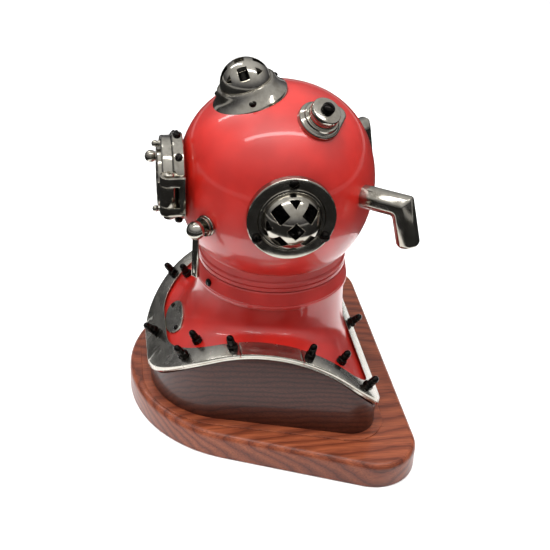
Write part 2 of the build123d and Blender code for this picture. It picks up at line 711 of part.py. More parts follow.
FACE_FRONT = FACE_SEAT + FACE_T
DOOR_BACK = FACE_FRONT + BODY_GAP
DOOR_FRONT = DOOR_BACK + DOOR_T
HINGE = Plane(origin=(HINGE_X, HINGE_Y, HINGE_Z), x_dir=(1, 0, 0), z_dir=(0, 0, 1))
CLAMP = Plane(origin=(CLAMP_X, 0, CLAMP_Z), x_dir=(1, 0, 0), z_dir=(0, -1, 0))
CLEAR_R = HINGE_R + BODY_GAP

with BuildPart() as face_flange:
    rim = 0.6
    outline = (
        (FACE_BORE_R, FACE_SEAT),
        (FACE_R - rim, FACE_SEAT),
        (FACE_R, FACE_SEAT + rim),
        (FACE_R, FACE_FRONT - rim),
        (FACE_R - rim, FACE_FRONT),
        (FACE_BORE_R, FACE_FRONT),
    )
    turned(FACE, outline)
    tube(FACE, FACE_BORE_R, FACE_BORE_R + COLLAR_T, FACE_SEAT - 2 * COLLAR_T, FACE_SEAT + 1)
    drum(HINGE, CLEAR_R, -HINGE_H, HINGE_H, Mode.SUBTRACT)
    for spot in FACE_SCREWS:
        drum(spot, FACE_SCREW[2], -FACE_SCREW[3], 1, Mode.SUBTRACT)
save(face_flange, "face_flange")
save(pan_screws(FACE_SCREWS, FACE_SCREW), "face_flange_screws")

with BuildPart() as bracket:
    half = HINGE_H / 2
    with BuildSketch(Plane.XY.offset(HINGE_Z - half)):
        with Locations((HINGE_X, HINGE_Y)):
            Circle(HINGE_R)
        with Locations((HINGE_X + HINGE_R / 2, (HINGE_Y + HINGE_BACK_Y) / 2)):
            Rectangle(HINGE_R, HINGE_BACK_Y - HINGE_Y)
    extrude(amount=HINGE_H)
    with BuildSketch(Plane.XY.offset(HINGE_Z - KNUCKLE_H / 2 - BODY_GAP)):
        with Locations((HINGE_X, HINGE_Y - HINGE_BACK_T)):
            Rectangle(4 * HINGE_R, 2 * (HINGE_BACK_Y - HINGE_Y))
    extrude(amount=KNUCKLE_H + 2 * BODY_GAP, mode=Mode.SUBTRACT)
    drum(HINGE, HINGE_PIN_R, -HINGE_H, HINGE_H, Mode.SUBTRACT)
    drum(FACE, FACE_R, 0, FACE_FRONT, Mode.SUBTRACT)
    dome_body(0, Mode.SUBTRACT)
save(bracket, "hinge_bracket")

with BuildPart() as pin:
    head_r, head_h = HINGE_HEAD
    nut_flats, nut_h = HINGE_NUT
    half = HINGE_H / 2
    drum(HINGE, HINGE_PIN_R, -half - nut_h - 0.8, half)
    crown = half + head_h
    head = ((0, half), (head_r, half), (head_r, half + 0.5 * head_h), (0.6 * head_r, crown), (0, crown))
    turned(HINGE, head)
    with BuildSketch(HINGE.offset(crown - SLOT_D)):
        Rectangle(3 * head_r, SLOT_W)
    extrude(amount=2 * SLOT_D, mode=Mode.SUBTRACT)
save(pin, "hinge_pin")
with BuildPart() as pin_nut:
    with BuildSketch(HINGE.offset(-half - nut_h)):
        RegularPolygon(nut_flats / 2, 6, major_radius=False)
        Circle(HINGE_PIN_R, mode=Mode.SUBTRACT)
    extrude(amount=nut_h)
save(pin_nut, "hinge_nut")

# Door: ring with a knuckle and an ear, glass, grille, gasket and acorn bolts
GLASS_BED = DOOR_BACK + DOOR_RIM_T - DOOR_GASKET_T
GLASS_FACE = GLASS_BED + DOOR_GLASS_T
with BuildPart() as door:
    rim = 0.8
    outline = (
        (DOOR_GLASS_R - DOOR_LEDGE_W, DOOR_BACK),
        (DOOR_R, DOOR_BACK),
        (DOOR_R, DOOR_FRONT - rim),
        (DOOR_R - rim, DOOR_FRONT),
        (DOOR_GLASS_R, DOOR_FRONT),
        (DOOR_GLASS_R, GLASS_BED),
        (DOOR_GLASS_R - DOOR_LEDGE_W, GLASS_BED),
    )
    turned(FACE, outline)
    with BuildSketch(FACE.offset(DOOR_BACK + BODY_GAP)):
        with Locations((CLAMP_X, CLAMP_Z - LIGHT_Z)):
            Circle(CLAMP_EAR_R)
        with Locations(((CLAMP_X - DOOR_GLASS_R) / 2, CLAMP_Z - LIGHT_Z)):
            Rectangle(-CLAMP_X - DOOR_GLASS_R, 2 * CLAMP_EAR_R)
    extrude(amount=CLAMP_EAR_T)
    drum(HINGE, CLEAR_R, -HINGE_H, HINGE_H, Mode.SUBTRACT)
    drum(HINGE, HINGE_R, -KNUCKLE_H / 2, KNUCKLE_H / 2)
    with BuildSketch(HINGE.offset(-KNUCKLE_H / 2)):
        with Locations((-HINGE_R, (HINGE_Y - DOOR_FRONT) / 2 - HINGE_Y)):
            Rectangle(HINGE_R, -DOOR_BACK - HINGE_Y + DOOR_T)
    extrude(amount=KNUCKLE_H)
    drum(FACE, DOOR_GLASS_R, GLASS_BED, 2 * DOOR_FRONT, Mode.SUBTRACT)
    drum(HINGE, HINGE_PIN_R + RUN_GAP, -HINGE_H, HINGE_H, Mode.SUBTRACT)
    tube(FACE, *DOOR_GASKET_R, 0, DOOR_BACK + DOOR_GASKET_T - GASKET_PROUD, Mode.SUBTRACT)
    drum(CLAMP, CLAMP_STEM_R + RUN_GAP, 0, 2 * DOOR_FRONT, Mode.SUBTRACT)
    drum(FACE, DOOR_GLASS_R - DOOR_LEDGE_W, 0, 2 * DOOR_FRONT, Mode.SUBTRACT)
    acorns = around(FACE, ACORN_AT, ACORN_SPOTS, DOOR_FRONT)
    for spot in acorns:
        drum(spot, ACORN_SHANK[0], -ACORN_SHANK[1], 1, Mode.SUBTRACT)
save(door, "door_ring")

with BuildPart() as acorn_bolts:
    for spot in acorns:
        drum(spot, ACORN_SHANK[0], -ACORN_SHANK[1], 1)
        drum(spot, 0.8 * ACORN_R, 0, ACORN_R)
        with Locations(spot.offset(1.4 * ACORN_R)):
            Sphere(ACORN_R)
save(acorn_bolts, "door_acorn_bolts")

with BuildPart() as door_gasket:
    tube(FACE, *DOOR_GASKET_R, DOOR_BACK - GASKET_PROUD, DOOR_BACK + DOOR_GASKET_T - GASKET_PROUD)
    drum(HINGE, CLEAR_R, -HINGE_H, HINGE_H, Mode.SUBTRACT)
save(door_gasket, "door_gasket")

with BuildPart() as door_glass:
    drum(FACE, DOOR_GLASS_R, GLASS_BED, GLASS_FACE)
save(door_glass, "door_glass")

with BuildPart() as grille:
    inner = DOOR_GLASS_R - GRILLE_RIM_W
    tube(FACE, inner, DOOR_GLASS_R, GLASS_FACE, DOOR_FRONT + GRILLE_H / 2)
    front = FACE.offset(DOOR_FRONT + GRILLE_H / 2 - GRILLE_T)
    with BuildSketch(front):
        for turn in (0, 90):
            for side in (-1, 1):
                away = side * GRILLE_PITCH / 2
                with Locations((away * cos(radians(turn)), away * sin(radians(turn)))):
                    Rectangle(GRILLE_BAR, 4 * inner, rotation=turn)
        Circle(inner + 0.5, mode=Mode.INTERSECT)
    extrude(amount=GRILLE_T)
save(grille, "door_grille")

# Clamp on the side away from the hinge: a lug on the flange and a ball-headed screw in the door's ear
with BuildPart() as lug:
    with BuildSketch(FACE.offset(FACE_SEAT + 0.6)):
        with Locations((CLAMP_X, CLAMP_Z - LIGHT_Z)):
            Circle(CLAMP_EAR_R)
        with Locations(((CLAMP_X - FACE_BORE_R) / 2, CLAMP_Z - LIGHT_Z)):
            Rectangle(-CLAMP_X - FACE_BORE_R, 2 * CLAMP_EAR_R)
    extrude(amount=FACE_T - 1.2)
    drum(FACE, FACE_R, 0, 2 * FACE_FRONT, Mode.SUBTRACT)
    drum(CLAMP, CLAMP_STEM_R, FACE_SEAT + 1.4, 2 * FACE_FRONT, Mode.SUBTRACT)
save(lug, "clamp_lug")

with BuildPart() as clamp_screw:
    ear_face = DOOR_BACK + BODY_GAP + CLAMP_EAR_T
    drum(CLAMP, CLAMP_STEM_R, DOOR_BACK, CLAMP_BALL_AT)
    drum(CLAMP, CLAMP_COLLAR[0], ear_face + BODY_GAP / 2, ear_face + BODY_GAP / 2 + CLAMP_COLLAR[1])
    with Locations(CLAMP.offset(CLAMP_BALL_AT)):
        Sphere(CLAMP_BALL_R)
save(clamp_screw, "clamp_screw")

# Spitcock: a stepped body on the dome and a ball with a flat lever that turns in it
with BuildPart() as spit_body:
    face = SPIT_FACE
    outline = (
        (0, DOME_R - ROOT),
        (SPIT_FLANGE_R, DOME_R - ROOT),
        (SPIT_FLANGE_R, face - 1.7),
        (SPIT_FLANGE_R - 1.2, face - 1.4),
        (SPIT_FLANGE_R - 1.2, face - 1.0),
        (SPIT_FLANGE_R - 0.5, face - 0.8),
        (SPIT_FLANGE_R - 0.5, face),
        (0, face),
    )
    turned(SPIT, outline)
    dome_body(0, Mode.SUBTRACT)
    drum(SPIT, SPIT_STEM_R, DOME_R - 4 * DOME_WALL, face - 1)
    drum(SPIT, SPIT_SPINDLE_R + RUN_GAP, face - SPIT_SPINDLE_L - BODY_GAP, 2 * face, Mode.SUBTRACT)
save(spit_body, "spitcock_body")

with BuildPart() as spit_handle:
    drum(SPIT, SPIT_SPINDLE_R, SPIT_FACE - SPIT_SPINDLE_L, SPIT_BALL_AT)
    with Locations(SPIT.offset(SPIT_BALL_AT)):
        Sphere(SPIT_BALL_R)
    low = SPIT.offset(SPIT_BALL_AT - SPIT_LEVER_T / 2)
    with BuildSketch(low):
        with BuildLine():
            top, foot = SPIT_LEVER_W
            tip = -SPIT_LEVER_L
            Polyline((-top / 2, 0), (top / 2, 0), (foot / 2, tip), (-foot / 2, tip), close=True)
        make_face()
    extrude(amount=SPIT_LEVER_T)
    drum(SPIT, SPIT_FLANGE_R, SPIT_FACE - BODY_GAP, SPIT_FACE + BODY_GAP, Mode.SUBTRACT)
    drum(SPIT, SPIT_SPINDLE_R, SPIT_FACE - SPIT_SPINDLE_L, SPIT_FACE + 1)
    dot_spot = low.from_local_coords(Vector(0, 2 - SPIT_LEVER_L, 0))
    dot = Plane(origin=dot_spot, x_dir=low.x_dir, z_dir=low.z_dir)
    drum(dot, SPIT_TIP_R, 0.8 * SPIT_LEVER_T, 2 * SPIT_LEVER_T, Mode.SUBTRACT)
save(spit_handle, "spitcock_handle")

# Exhaust valve: a teardrop body, a drum and a turning slotted knob
with BuildPart() as vent_body:
    tail, tail_r = VENT_TAIL
    with BuildSketch(VENT.offset(DOME_R / 2)):
        Circle(VENT_PAD_R)
        with Locations((tail, 0)):
            Circle(tail_r)
        make_hull()
    extrude(amount=VENT_PAD_AT - DOME_R / 2)
    dome_body(0, Mode.SUBTRACT)
    shoulder_r, shoulder = VENT_SHOULDER
    turned(
        VENT,
        (
            (0, VENT_PAD_AT),
            (shoulder_r + 1.2, VENT_PAD_AT),
            (shoulder_r, shoulder),
            (VENT_CAP_R, shoulder),
            (VENT_CAP_R, VENT_FACE - 0.6),
            (VENT_CAP_R - 0.6, VENT_FACE),
            (0, VENT_FACE),
        ),
    )
    drum(VENT, VENT_STEM_R, DOME_R - 4 * DOME_WALL, VENT_PAD_AT)
    bore_foot = VENT_FACE - VENT_SPINDLE[1] - BODY_GAP
    drum(VENT, VENT_SPINDLE[0] + RUN_GAP, bore_foot, 2 * VENT_FACE, Mode.SUBTRACT)
save(vent_body, "exhaust_body")

with BuildPart() as vent_knob:
    base = VENT_FACE + BODY_GAP
    drum(VENT, VENT_SPINDLE[0], VENT_FACE - VENT_SPINDLE[1], base + 1)
    knob = VENT_KNOB_R
    crown = base + VENT_KNOB_H
    brim = ((0, base), (knob, base), (knob, base + 1.6))
    turned(VENT, brim + ((0.8 * knob, crown - 0.6), (0.4 * knob, crown), (0, crown)))
    with BuildSketch(VENT.offset(crown - SLOT_D)):
        Rectangle(3 * knob, SLOT_W)
    extrude(amount=2 * SLOT_D, mode=Mode.SUBTRACT)
save(vent_knob, "exhaust_knob")

# Air elbows: mitred eight-sided pipes at the back of the dome, one the mirror of the other
def elbow(side):
    """Pipe that leaves the dome, turns downwards and is closed at its end."""
    out = Vector(side * cos(radians(ELBOW_AZ)), sin(radians(ELBOW_AZ)), 0)
    start = Vector(0, 0, ELBOW_Z)
    rise = sin(radians(ELBOW_RISE))
    reach = cos(radians(ELBOW_RISE))
    heading = out * reach + Vector(0, 0, rise)
    corner = start + heading * ELBOW_REACH
    end = corner + out * ELBOW_DROP[0] + Vector(0, 0, ELBOW_DROP[1])
    foot = start + heading * (0.8 * DOME_R)
    with BuildPart() as pipe:
        with BuildLine() as path:
            Polyline(foot, corner, end)
        across = Plane(origin=foot, x_dir=Vector(-out.Y, out.X, 0), z_dir=heading)
        with BuildSketch(across) as outline:
            RegularPolygon(ELBOW_FLATS / 2, ELBOW_SIDES, major_radius=False, rotation=180 / ELBOW_SIDES)
        sweep(outline.sketch, path=path.line, transition=Transition.RIGHT)
        tip = pipe.faces().sort_by(Axis.Z)[0]
        chamfer(tip.edges(), ELBOW_CHAMFER)
        dome_body(0, Mode.SUBTRACT)
    return pipe


for side, name in ((1, "left"), (-1, "right")):
    save(elbow(side), f"{name}_elbow")
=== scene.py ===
"""Visual model of a miniature diving helmet on a two-tier hardwood stand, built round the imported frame."""
import json
import logging
import math
from dataclasses import dataclass, field
from enum import Enum

import bpy
from mathutils import Matrix, Vector


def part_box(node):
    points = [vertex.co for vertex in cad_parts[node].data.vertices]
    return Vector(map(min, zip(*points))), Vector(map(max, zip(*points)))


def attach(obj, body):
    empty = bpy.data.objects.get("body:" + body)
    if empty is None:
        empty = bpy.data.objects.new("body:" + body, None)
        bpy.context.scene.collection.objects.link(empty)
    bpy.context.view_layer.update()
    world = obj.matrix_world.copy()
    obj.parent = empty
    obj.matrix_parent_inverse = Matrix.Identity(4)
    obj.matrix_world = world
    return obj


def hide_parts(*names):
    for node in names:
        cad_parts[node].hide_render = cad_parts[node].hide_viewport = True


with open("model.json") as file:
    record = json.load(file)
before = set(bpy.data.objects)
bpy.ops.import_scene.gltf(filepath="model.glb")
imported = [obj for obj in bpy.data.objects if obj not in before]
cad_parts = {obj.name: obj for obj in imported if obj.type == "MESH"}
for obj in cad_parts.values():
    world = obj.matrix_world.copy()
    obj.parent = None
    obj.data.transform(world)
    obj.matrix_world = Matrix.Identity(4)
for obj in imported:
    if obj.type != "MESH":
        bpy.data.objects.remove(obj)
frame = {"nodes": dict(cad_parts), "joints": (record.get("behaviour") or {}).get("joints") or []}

LOG = logging.getLogger("helmet")
MM = 0.001
TURN = 2 * math.pi
CROWN = 0.982  # height of the dome above its middle, over its radius
Outline = list[tuple[float, float]]
Spot = tuple[float, float, float]


class Body(Enum):
    """The frame's moving groups."""

    STAND = "stand"
    HELMET = "helmet"
    DOOR = "face_door"
    CLAMP = "door_clamp"
    SPITCOCK = "spitcock"
    EXHAUST = "exhaust_adjuster"


class Cut(Enum):
    """What a boolean modifier does with its tool."""

    AWAY = "DIFFERENCE"
    COMMON = "INTERSECT"


# ---------------------------------------------------------------------------------------------
# Places
# ---------------------------------------------------------------------------------------------


@dataclass(frozen=True)
class Seat:
    """A place in millimetres with an outward axis and a direction across it."""

    origin: Spot
    axis: Spot = (0.0, 0.0, 1.0)
    across: Spot = (1.0, 0.0, 0.0)

    def matrix(self) -> Matrix:
        """Turn and move, in metres, that takes a shape made on +Z to this seat."""
        up = Vector(self.axis).normalized()
        side = Vector(self.across)
        side = (side - up * side.dot(up)).normalized()
        turn = Matrix((side, up.cross(side), up)).transposed().to_4x4()
        return Matrix.Translation(Vector(self.origin) * MM) @ turn

    def at(self, x: float, y: float, z: float) -> Spot:
        """Point, in millimetres, given in the seat's own directions."""
        return tuple(self.matrix() @ (Vector((x, y, z)) * MM) / MM)

    def shifted(self, x: float, y: float, z: float) -> "Seat":
        """Parallel seat moved in this one's own directions."""
        return Seat(self.at(x, y, z), self.axis, self.across)


def low_high(node: str) -> tuple[Vector, Vector]:
    """Lowest and highest corners of a frame node, in millimetres."""
    low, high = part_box(node)
    return low / MM, high / MM


def joint_seat(name: str, across: Spot = (0.0, 0.0, 1.0)) -> Seat:
    """Seat at a joint's place and axis.

    Args:
        name: Joint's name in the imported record.
        across: Direction that becomes the seat's X.

    Returns:
        The seat in millimetres.
    """
    joint = next(row for row in frame["joints"] if row["name"] == name)
    return Seat(tuple(value / MM for value in joint["pos_m"]), tuple(joint["axis"]), across)


# ---------------------------------------------------------------------------------------------
# Finishes
# ---------------------------------------------------------------------------------------------


def linear(colour: str) -> tuple[float, float, float, float]:
    """Linear RGBA of an sRGB hex colour."""
    values = [int(colour[place : place + 2], 16) / 255 for place in (1, 3, 5)]
    return tuple(v / 12.92 if v <= 0.04045 else ((v + 0.055) / 1.055) ** 2.4 for v in values) + (1.0,)


def add_node(
    tree: bpy.types.NodeTree, kind: str, links: dict | None = None, **settings: object
) -> bpy.types.Node:
    """Add one node with its settings and incoming links.

    Args:
        tree: Node tree that gets the node.
        kind: Blender's name for the node type.
        links: Socket name or number to the output that feeds it.
        settings: Node properties, or input values when the name is an input written with underscores.

    Returns:
        The new node.
    """
    node = tree.nodes.new(kind)
    for name, value in settings.items():
        if hasattr(node, name):
            setattr(node, name, value)
        else:
            place = int(name[1:]) if name[1:].isdigit() else name.replace("_", " ")
            node.inputs[place].default_value = value
    for name, source in (links or {}).items():
        tree.links.new(source, node.inputs[name])
    return node


def ramp(
    tree: bpy.types.NodeTree, source: bpy.types.NodeSocket, stops: list[tuple[float, str]]
) -> bpy.types.NodeSocket:
    """Colour ramp over a value, with its stops given as (place, hex colour)."""
    node = add_node(tree, "ShaderNodeValToRGB", {0: source})
    for number, (place, colour) in enumerate(stops):
        stop = node.color_ramp.elements[number] if number < 2 else node.color_ramp.elements.new(place)
        stop.position = place
        stop.color = linear(colour)
    return node.outputs["Color"]


@dataclass(frozen=True)
class Finish:
    """Base of every finish: a material with a shader, object coordinates and an output."""

    name: str

    def start(self) -> tuple[bpy.types.Material, bpy.types.NodeTree, bpy.types.NodeSocket, bpy.types.Node]:
        """New material, its tree, its object coordinates and its shader."""
        material = bpy.data.materials.new(self.name)
        material.use_nodes = True
        tree = material.node_tree
        tree.nodes.clear()
        place = add_node(tree, "ShaderNodeTexCoord").outputs["Object"]
        shader = add_node(tree, "ShaderNodeBsdfPrincipled")
        add_node(tree, "ShaderNodeOutputMaterial", {"Surface": shader.outputs["BSDF"]})
        return material, tree, place, shader


@dataclass(frozen=True)
class VarnishedSheesham(Finish):
    """Sheesham board under gloss varnish: dark growth lines, open pores and a wet-looking coat."""

    ring_mm: float = 5.0
    pore_mm: float = 0.35
    heart: str = "#552716"
    middle: str = "#6b321d"
    light: str = "#8a482c"
    late: str = "#7a3d26"
    pith: Spot = (30.0, 0.0, -30.0)
    lean: float = 7.0

    def build(self) -> bpy.types.Material:
        """Make the material."""
        material, tree, place, shader = self.start()
        tilt = math.radians(self.lean)
        centre = [-value * MM for value in self.pith]
        board = add_node(
            tree, "ShaderNodeMapping", {"Vector": place}, Location=centre, Rotation=(tilt, 0, tilt / 2)
        )
        stretch = add_node(
            tree, "ShaderNodeMapping", {"Vector": place}, Scale=(1, 0.12, 1), Rotation=(tilt, 0, tilt / 2)
        )
        wander = add_node(tree, "ShaderNodeTexNoise", {"Vector": stretch.outputs[0]}, Scale=38.0, Detail=3.0)
        swing = add_node(
            tree, "ShaderNodeVectorMath", {0: wander.outputs["Color"]}, operation="SCALE", Scale=0.016
        )
        bent = add_node(
            tree, "ShaderNodeVectorMath", {0: board.outputs[0], 1: swing.outputs[0]}, operation="ADD"
        )
        rings = add_node(
            tree, "ShaderNodeTexWave", {"Vector": bent.outputs[0]}, wave_type="RINGS", rings_direction="Y",
            wave_profile="SAW", Scale=0.314 / (self.ring_mm * MM), Distortion=0.6,
            Detail=3.0, Detail_Scale=1.6,
        )
        fibre = add_node(
            tree, "ShaderNodeMapping", {"Vector": place}, Scale=(1, 0.03, 1), Rotation=(tilt, 0, tilt / 2)
        )
        streak = add_node(
            tree, "ShaderNodeTexNoise", {
                "Vector": fibre.outputs[0]
            }, Scale=0.9 / (self.pore_mm * MM), Detail=4.0
        )
        broad = add_node(tree, "ShaderNodeTexNoise", {"Vector": stretch.outputs[0]}, Scale=22.0, Detail=2.0)
        tone = ramp(
            tree, rings.outputs["Fac"],
            [
                (0.0, self.heart), (1.0, self.middle), (0.16, self.middle), (0.55, self.light),
                (0.85, self.late)
            ],
        )
        fleck = ramp(tree, streak.outputs["Fac"], [(0.36, "#3a1b11"), (0.56, "#ffffff")])
        shade = ramp(tree, broad.outputs["Fac"], [(0.3, "#b8a49c"), (0.7, "#ffffff")])
        fibres = add_node(
            tree, "ShaderNodeMix", {6: tone, 7: fleck}, data_type="RGBA", blend_type="MULTIPLY", i0=0.5
        )
        colour = add_node(
            tree, "ShaderNodeMix", {
                6: fibres.outputs[2], 7: shade
            }, data_type="RGBA", blend_type="MULTIPLY", i0=0.75
        )
        tree.links.new(colour.outputs[2], shader.inputs["Base Color"])
        pores = add_node(
            tree, "ShaderNodeBump", {"Height": streak.outputs["Fac"]}, Strength=0.25, Distance=0.0001
        )
        tree.links.new(pores.outputs[0], shader.inputs["Normal"])
        ripple = add_node(tree, "ShaderNodeTexNoise", {"Vector": place}, Scale=90.0, Detail=2.0)
        flow = add_node(
            tree, "ShaderNodeBump", {"Height": ripple.outputs["Fac"]}, Strength=0.12, Distance=0.0006
        )
        tree.links.new(flow.outputs[0], shader.inputs["Coat Normal"])
        shader.inputs["Roughness"].default_value = 0.42
        shader.inputs["Coat Weight"].default_value = 0.25
        shader.inputs["Specular IOR Level"].default_value = 0.25
        shader.inputs["Coat Roughness"].default_value = 0.09
        return material


@dataclass(frozen=True)
class StovedEnamel(Finish):
    """Gloss enamel sprayed and stoved on spun sheet metal: deep colour with a faint orange peel."""

    colour: str = "#a4170d"
    shade: str = "#90120a"
    peel_mm: float = 2.2

    def build(self) -> bpy.types.Material:
        """Make the material."""
        material, tree, place, shader = self.start()
        cloud = add_node(tree, "ShaderNodeTexNoise", {"Vector": place}, Scale=45.0, Detail=4.0)
        tone = ramp(tree, cloud.outputs["Fac"], [(0.35, self.shade), (0.65, self.colour)])
        tree.links.new(tone, shader.inputs["Base Color"])
        peel = add_node(
            tree, "ShaderNodeTexNoise", {"Vector": place}, Scale=1 / (self.peel_mm * MM), Detail=2.0
        )
        bump = add_node(
            tree, "ShaderNodeBump", {"Height": peel.outputs["Fac"]}, Strength=0.08, Distance=0.0002
        )
        tree.links.new(bump.outputs[0], shader.inputs["Coat Normal"])
        haze = add_node(tree, "ShaderNodeMapRange", {"Value": cloud.outputs["Fac"]}, i3=0.3, i4=0.46)
        tree.links.new(haze.outputs[0], shader.inputs["Roughness"])
        shader.inputs["Coat Weight"].default_value = 0.6
        shader.inputs["Coat Roughness"].default_value = 0.07
        return material


@dataclass(frozen=True)
class PolishedNickel(Finish):
    """Nickel plate over buffed brass: grey mirror with rubbing marks, stain spots and worn warm edges."""

    colour: str = "#b0aca2"
    tint: str = "#8e887d"
    worn: str = "#c4bba7"
    rough: tuple[float, float] = (0.07, 0.19)
    rub_mm: float = 0.8
    edge_mm: float = 0.35

    def build(self) -> bpy.types.Material:
        """Make the material."""
        material, tree, place, shader = self.start()
        cloud = add_node(
            tree, "ShaderNodeTexNoise", {"Vector": place}, Scale=120.0, Detail=5.0, Roughness=0.6
        )
        rub = add_node(
            tree, "ShaderNodeMapping", {"Vector": place}, Scale=(1, 0.15, 1), Rotation=(0.5, 0.3, 0.6)
        )
        lines = add_node(
            tree, "ShaderNodeTexNoise", {"Vector": rub.outputs[0]}, Scale=1 / (self.rub_mm * MM), Detail=3.0
        )
        tone = ramp(tree, cloud.outputs["Fac"], [(0.3, self.tint), (0.62, self.colour)])
        rounded = add_node(tree, "ShaderNodeBevel", samples=4, Radius=self.edge_mm * MM)
        flat = add_node(tree, "ShaderNodeNewGeometry")
        facing = add_node(
            tree, "ShaderNodeVectorMath", {
                0: rounded.outputs[0], 1: flat.outputs["Normal"]
            }, operation="DOT_PRODUCT"
        )
        edge = add_node(
            tree, "ShaderNodeMapRange", {"Value": facing.outputs["Value"]}, i1=0.97, i2=0.8, i3=0.0, i4=0.7
        )
        colour = add_node(
            tree, "ShaderNodeMix", {0: edge.outputs[0], 6: tone}, data_type="RGBA", i7=linear(self.worn)
        )
        tree.links.new(colour.outputs[2], shader.inputs["Base Color"])
        low, high = self.rough
        haze = add_node(
            tree, "ShaderNodeMapRange", {"Value": cloud.outputs["Fac"]}, i1=0.3, i2=0.7, i3=low, i4=high
        )
        tree.links.new(haze.outputs[0], shader.inputs["Roughness"])
        bump = add_node(
            tree, "ShaderNodeBump", {"Height": lines.outputs["Fac"], "Normal": rounded.outputs[0]},
            Strength=0.02, Distance=0.0001,
        )
        tree.links.new(bump.outputs[0], shader.inputs["Normal"])
        shader.inputs["Metallic"].default_value = 1.0
        return material


@dataclass(frozen=True)
class BlackGlass(Finish):
    """Dark tinted window glass: near black with a sharp reflection and a little dust."""

    colour: str = "#050505"

    def build(self) -> bpy.types.Material:
        """Make the material."""
        material, tree, place, shader = self.start()
        dust = add_node(tree, "ShaderNodeTexNoise", {"Vector": place}, Scale=400.0, Detail=3.0)
        tone = ramp(tree, dust.outputs["Fac"], [(0.4, self.colour), (0.8, "#121110")])
        tree.links.new(tone, shader.inputs["Base Color"])
        haze = add_node(tree, "ShaderNodeMapRange", {"Value": dust.outputs["Fac"]}, i3=0.04, i4=0.25)
        tree.links.new(haze.outputs[0], shader.inputs["Roughness"])
        return material


@dataclass(frozen=True)
class MouldedRubber(Finish):
    """Moulded black rubber: matt with a fine mould grain."""

    colour: str = "#0c0c0c"
    grain_mm: float = 0.5

    def build(self) -> bpy.types.Material:
        """Make the material."""
        material, tree, place, shader = self.start()
        grain = add_node(
            tree, "ShaderNodeTexNoise", {"Vector": place}, Scale=1 / (self.grain_mm * MM), Detail=3.0
        )
        tone = ramp(tree, grain.outputs["Fac"], [(0.3, self.colour), (0.7, "#1a1918")])
        tree.links.new(tone, shader.inputs["Base Color"])
        bump = add_node(
            tree, "ShaderNodeBump", {"Height": grain.outputs["Fac"]}, Strength=0.3, Distance=0.0001
        )
        tree.links.new(bump.outputs[0], shader.inputs["Normal"])
        shader.inputs["Roughness"].default_value = 0.7
        return material


@dataclass
class Finishes:
    """Every finish of the object, with the record's slot that each one stands for."""

    made: dict[str, bpy.types.Material] = field(default_factory=dict)

    def build(self) -> None:
        """Make the materials once."""
        self.made = {
            "wood": VarnishedSheesham("sheesham_gloss_varnished").build(),
            # Darker copy of the same varnished sheesham for the riser block: the darker colour is painted
            # shade of the riser's shaded sides.
            "riser_wood_painted_shade": VarnishedSheesham(
                "sheesham_gloss_varnished_painted_shade", ring_mm=3.0, heart="#2a1009",
                middle="#3f1b11", light="#4e2518",
                late="#462015", pith=(140, 0, -60), lean=1.5
            ).build(),
            "red": StovedEnamel("enamel_stoved_red").build(),
            "nickel": PolishedNickel("nickel_plated_brass_polished").build(),
            "satin": PolishedNickel(
                "nickel_plated_strip_satin", rough=(0.16, 0.3), tint="#a19d93", colour="#bcb8ae"
            ).build(),
            "black": PolishedNickel(
                "black_nickel_plated_steel_turned", colour="#262422", tint="#1c1a19",
                worn="#54483e", rough=(0.14, 0.28)
            ).build(),
            "brass": PolishedNickel(
                "brass_spun_unpolished", colour="#8a7444", tint="#5d4c2c", worn="#a08a55", rough=(0.3, 0.5)
            ).build(),
            "glass": BlackGlass("glass_tinted_dark").build(),
            "rubber": MouldedRubber("rubber_moulded_black").build(),
        }

    SLOTS = {
        "wood": "varnished_wood", "riser_wood_painted_shade": "varnished_wood", "red": "red_paint",
        "nickel": "bright_nickel",
        "satin": "bright_nickel", "black": "black_nickel", "glass": "dark_glass", "rubber": "black_rubber",
    }

    def dress(self, piece: bpy.types.Object, *names: str) -> bpy.types.Object:
        """Give a piece its materials in slot order."""
        marks = [polygon.material_index for polygon in piece.data.polygons] if len(names) > 1 else []
        piece.data.materials.clear()
        for name in names:
            piece.data.materials.append(self.made[name])
        if marks:
            piece.data.polygons.foreach_set("material_index", marks)
        return piece


# ---------------------------------------------------------------------------------------------
# Bench: the operations that every assembly shares
# ---------------------------------------------------------------------------------------------


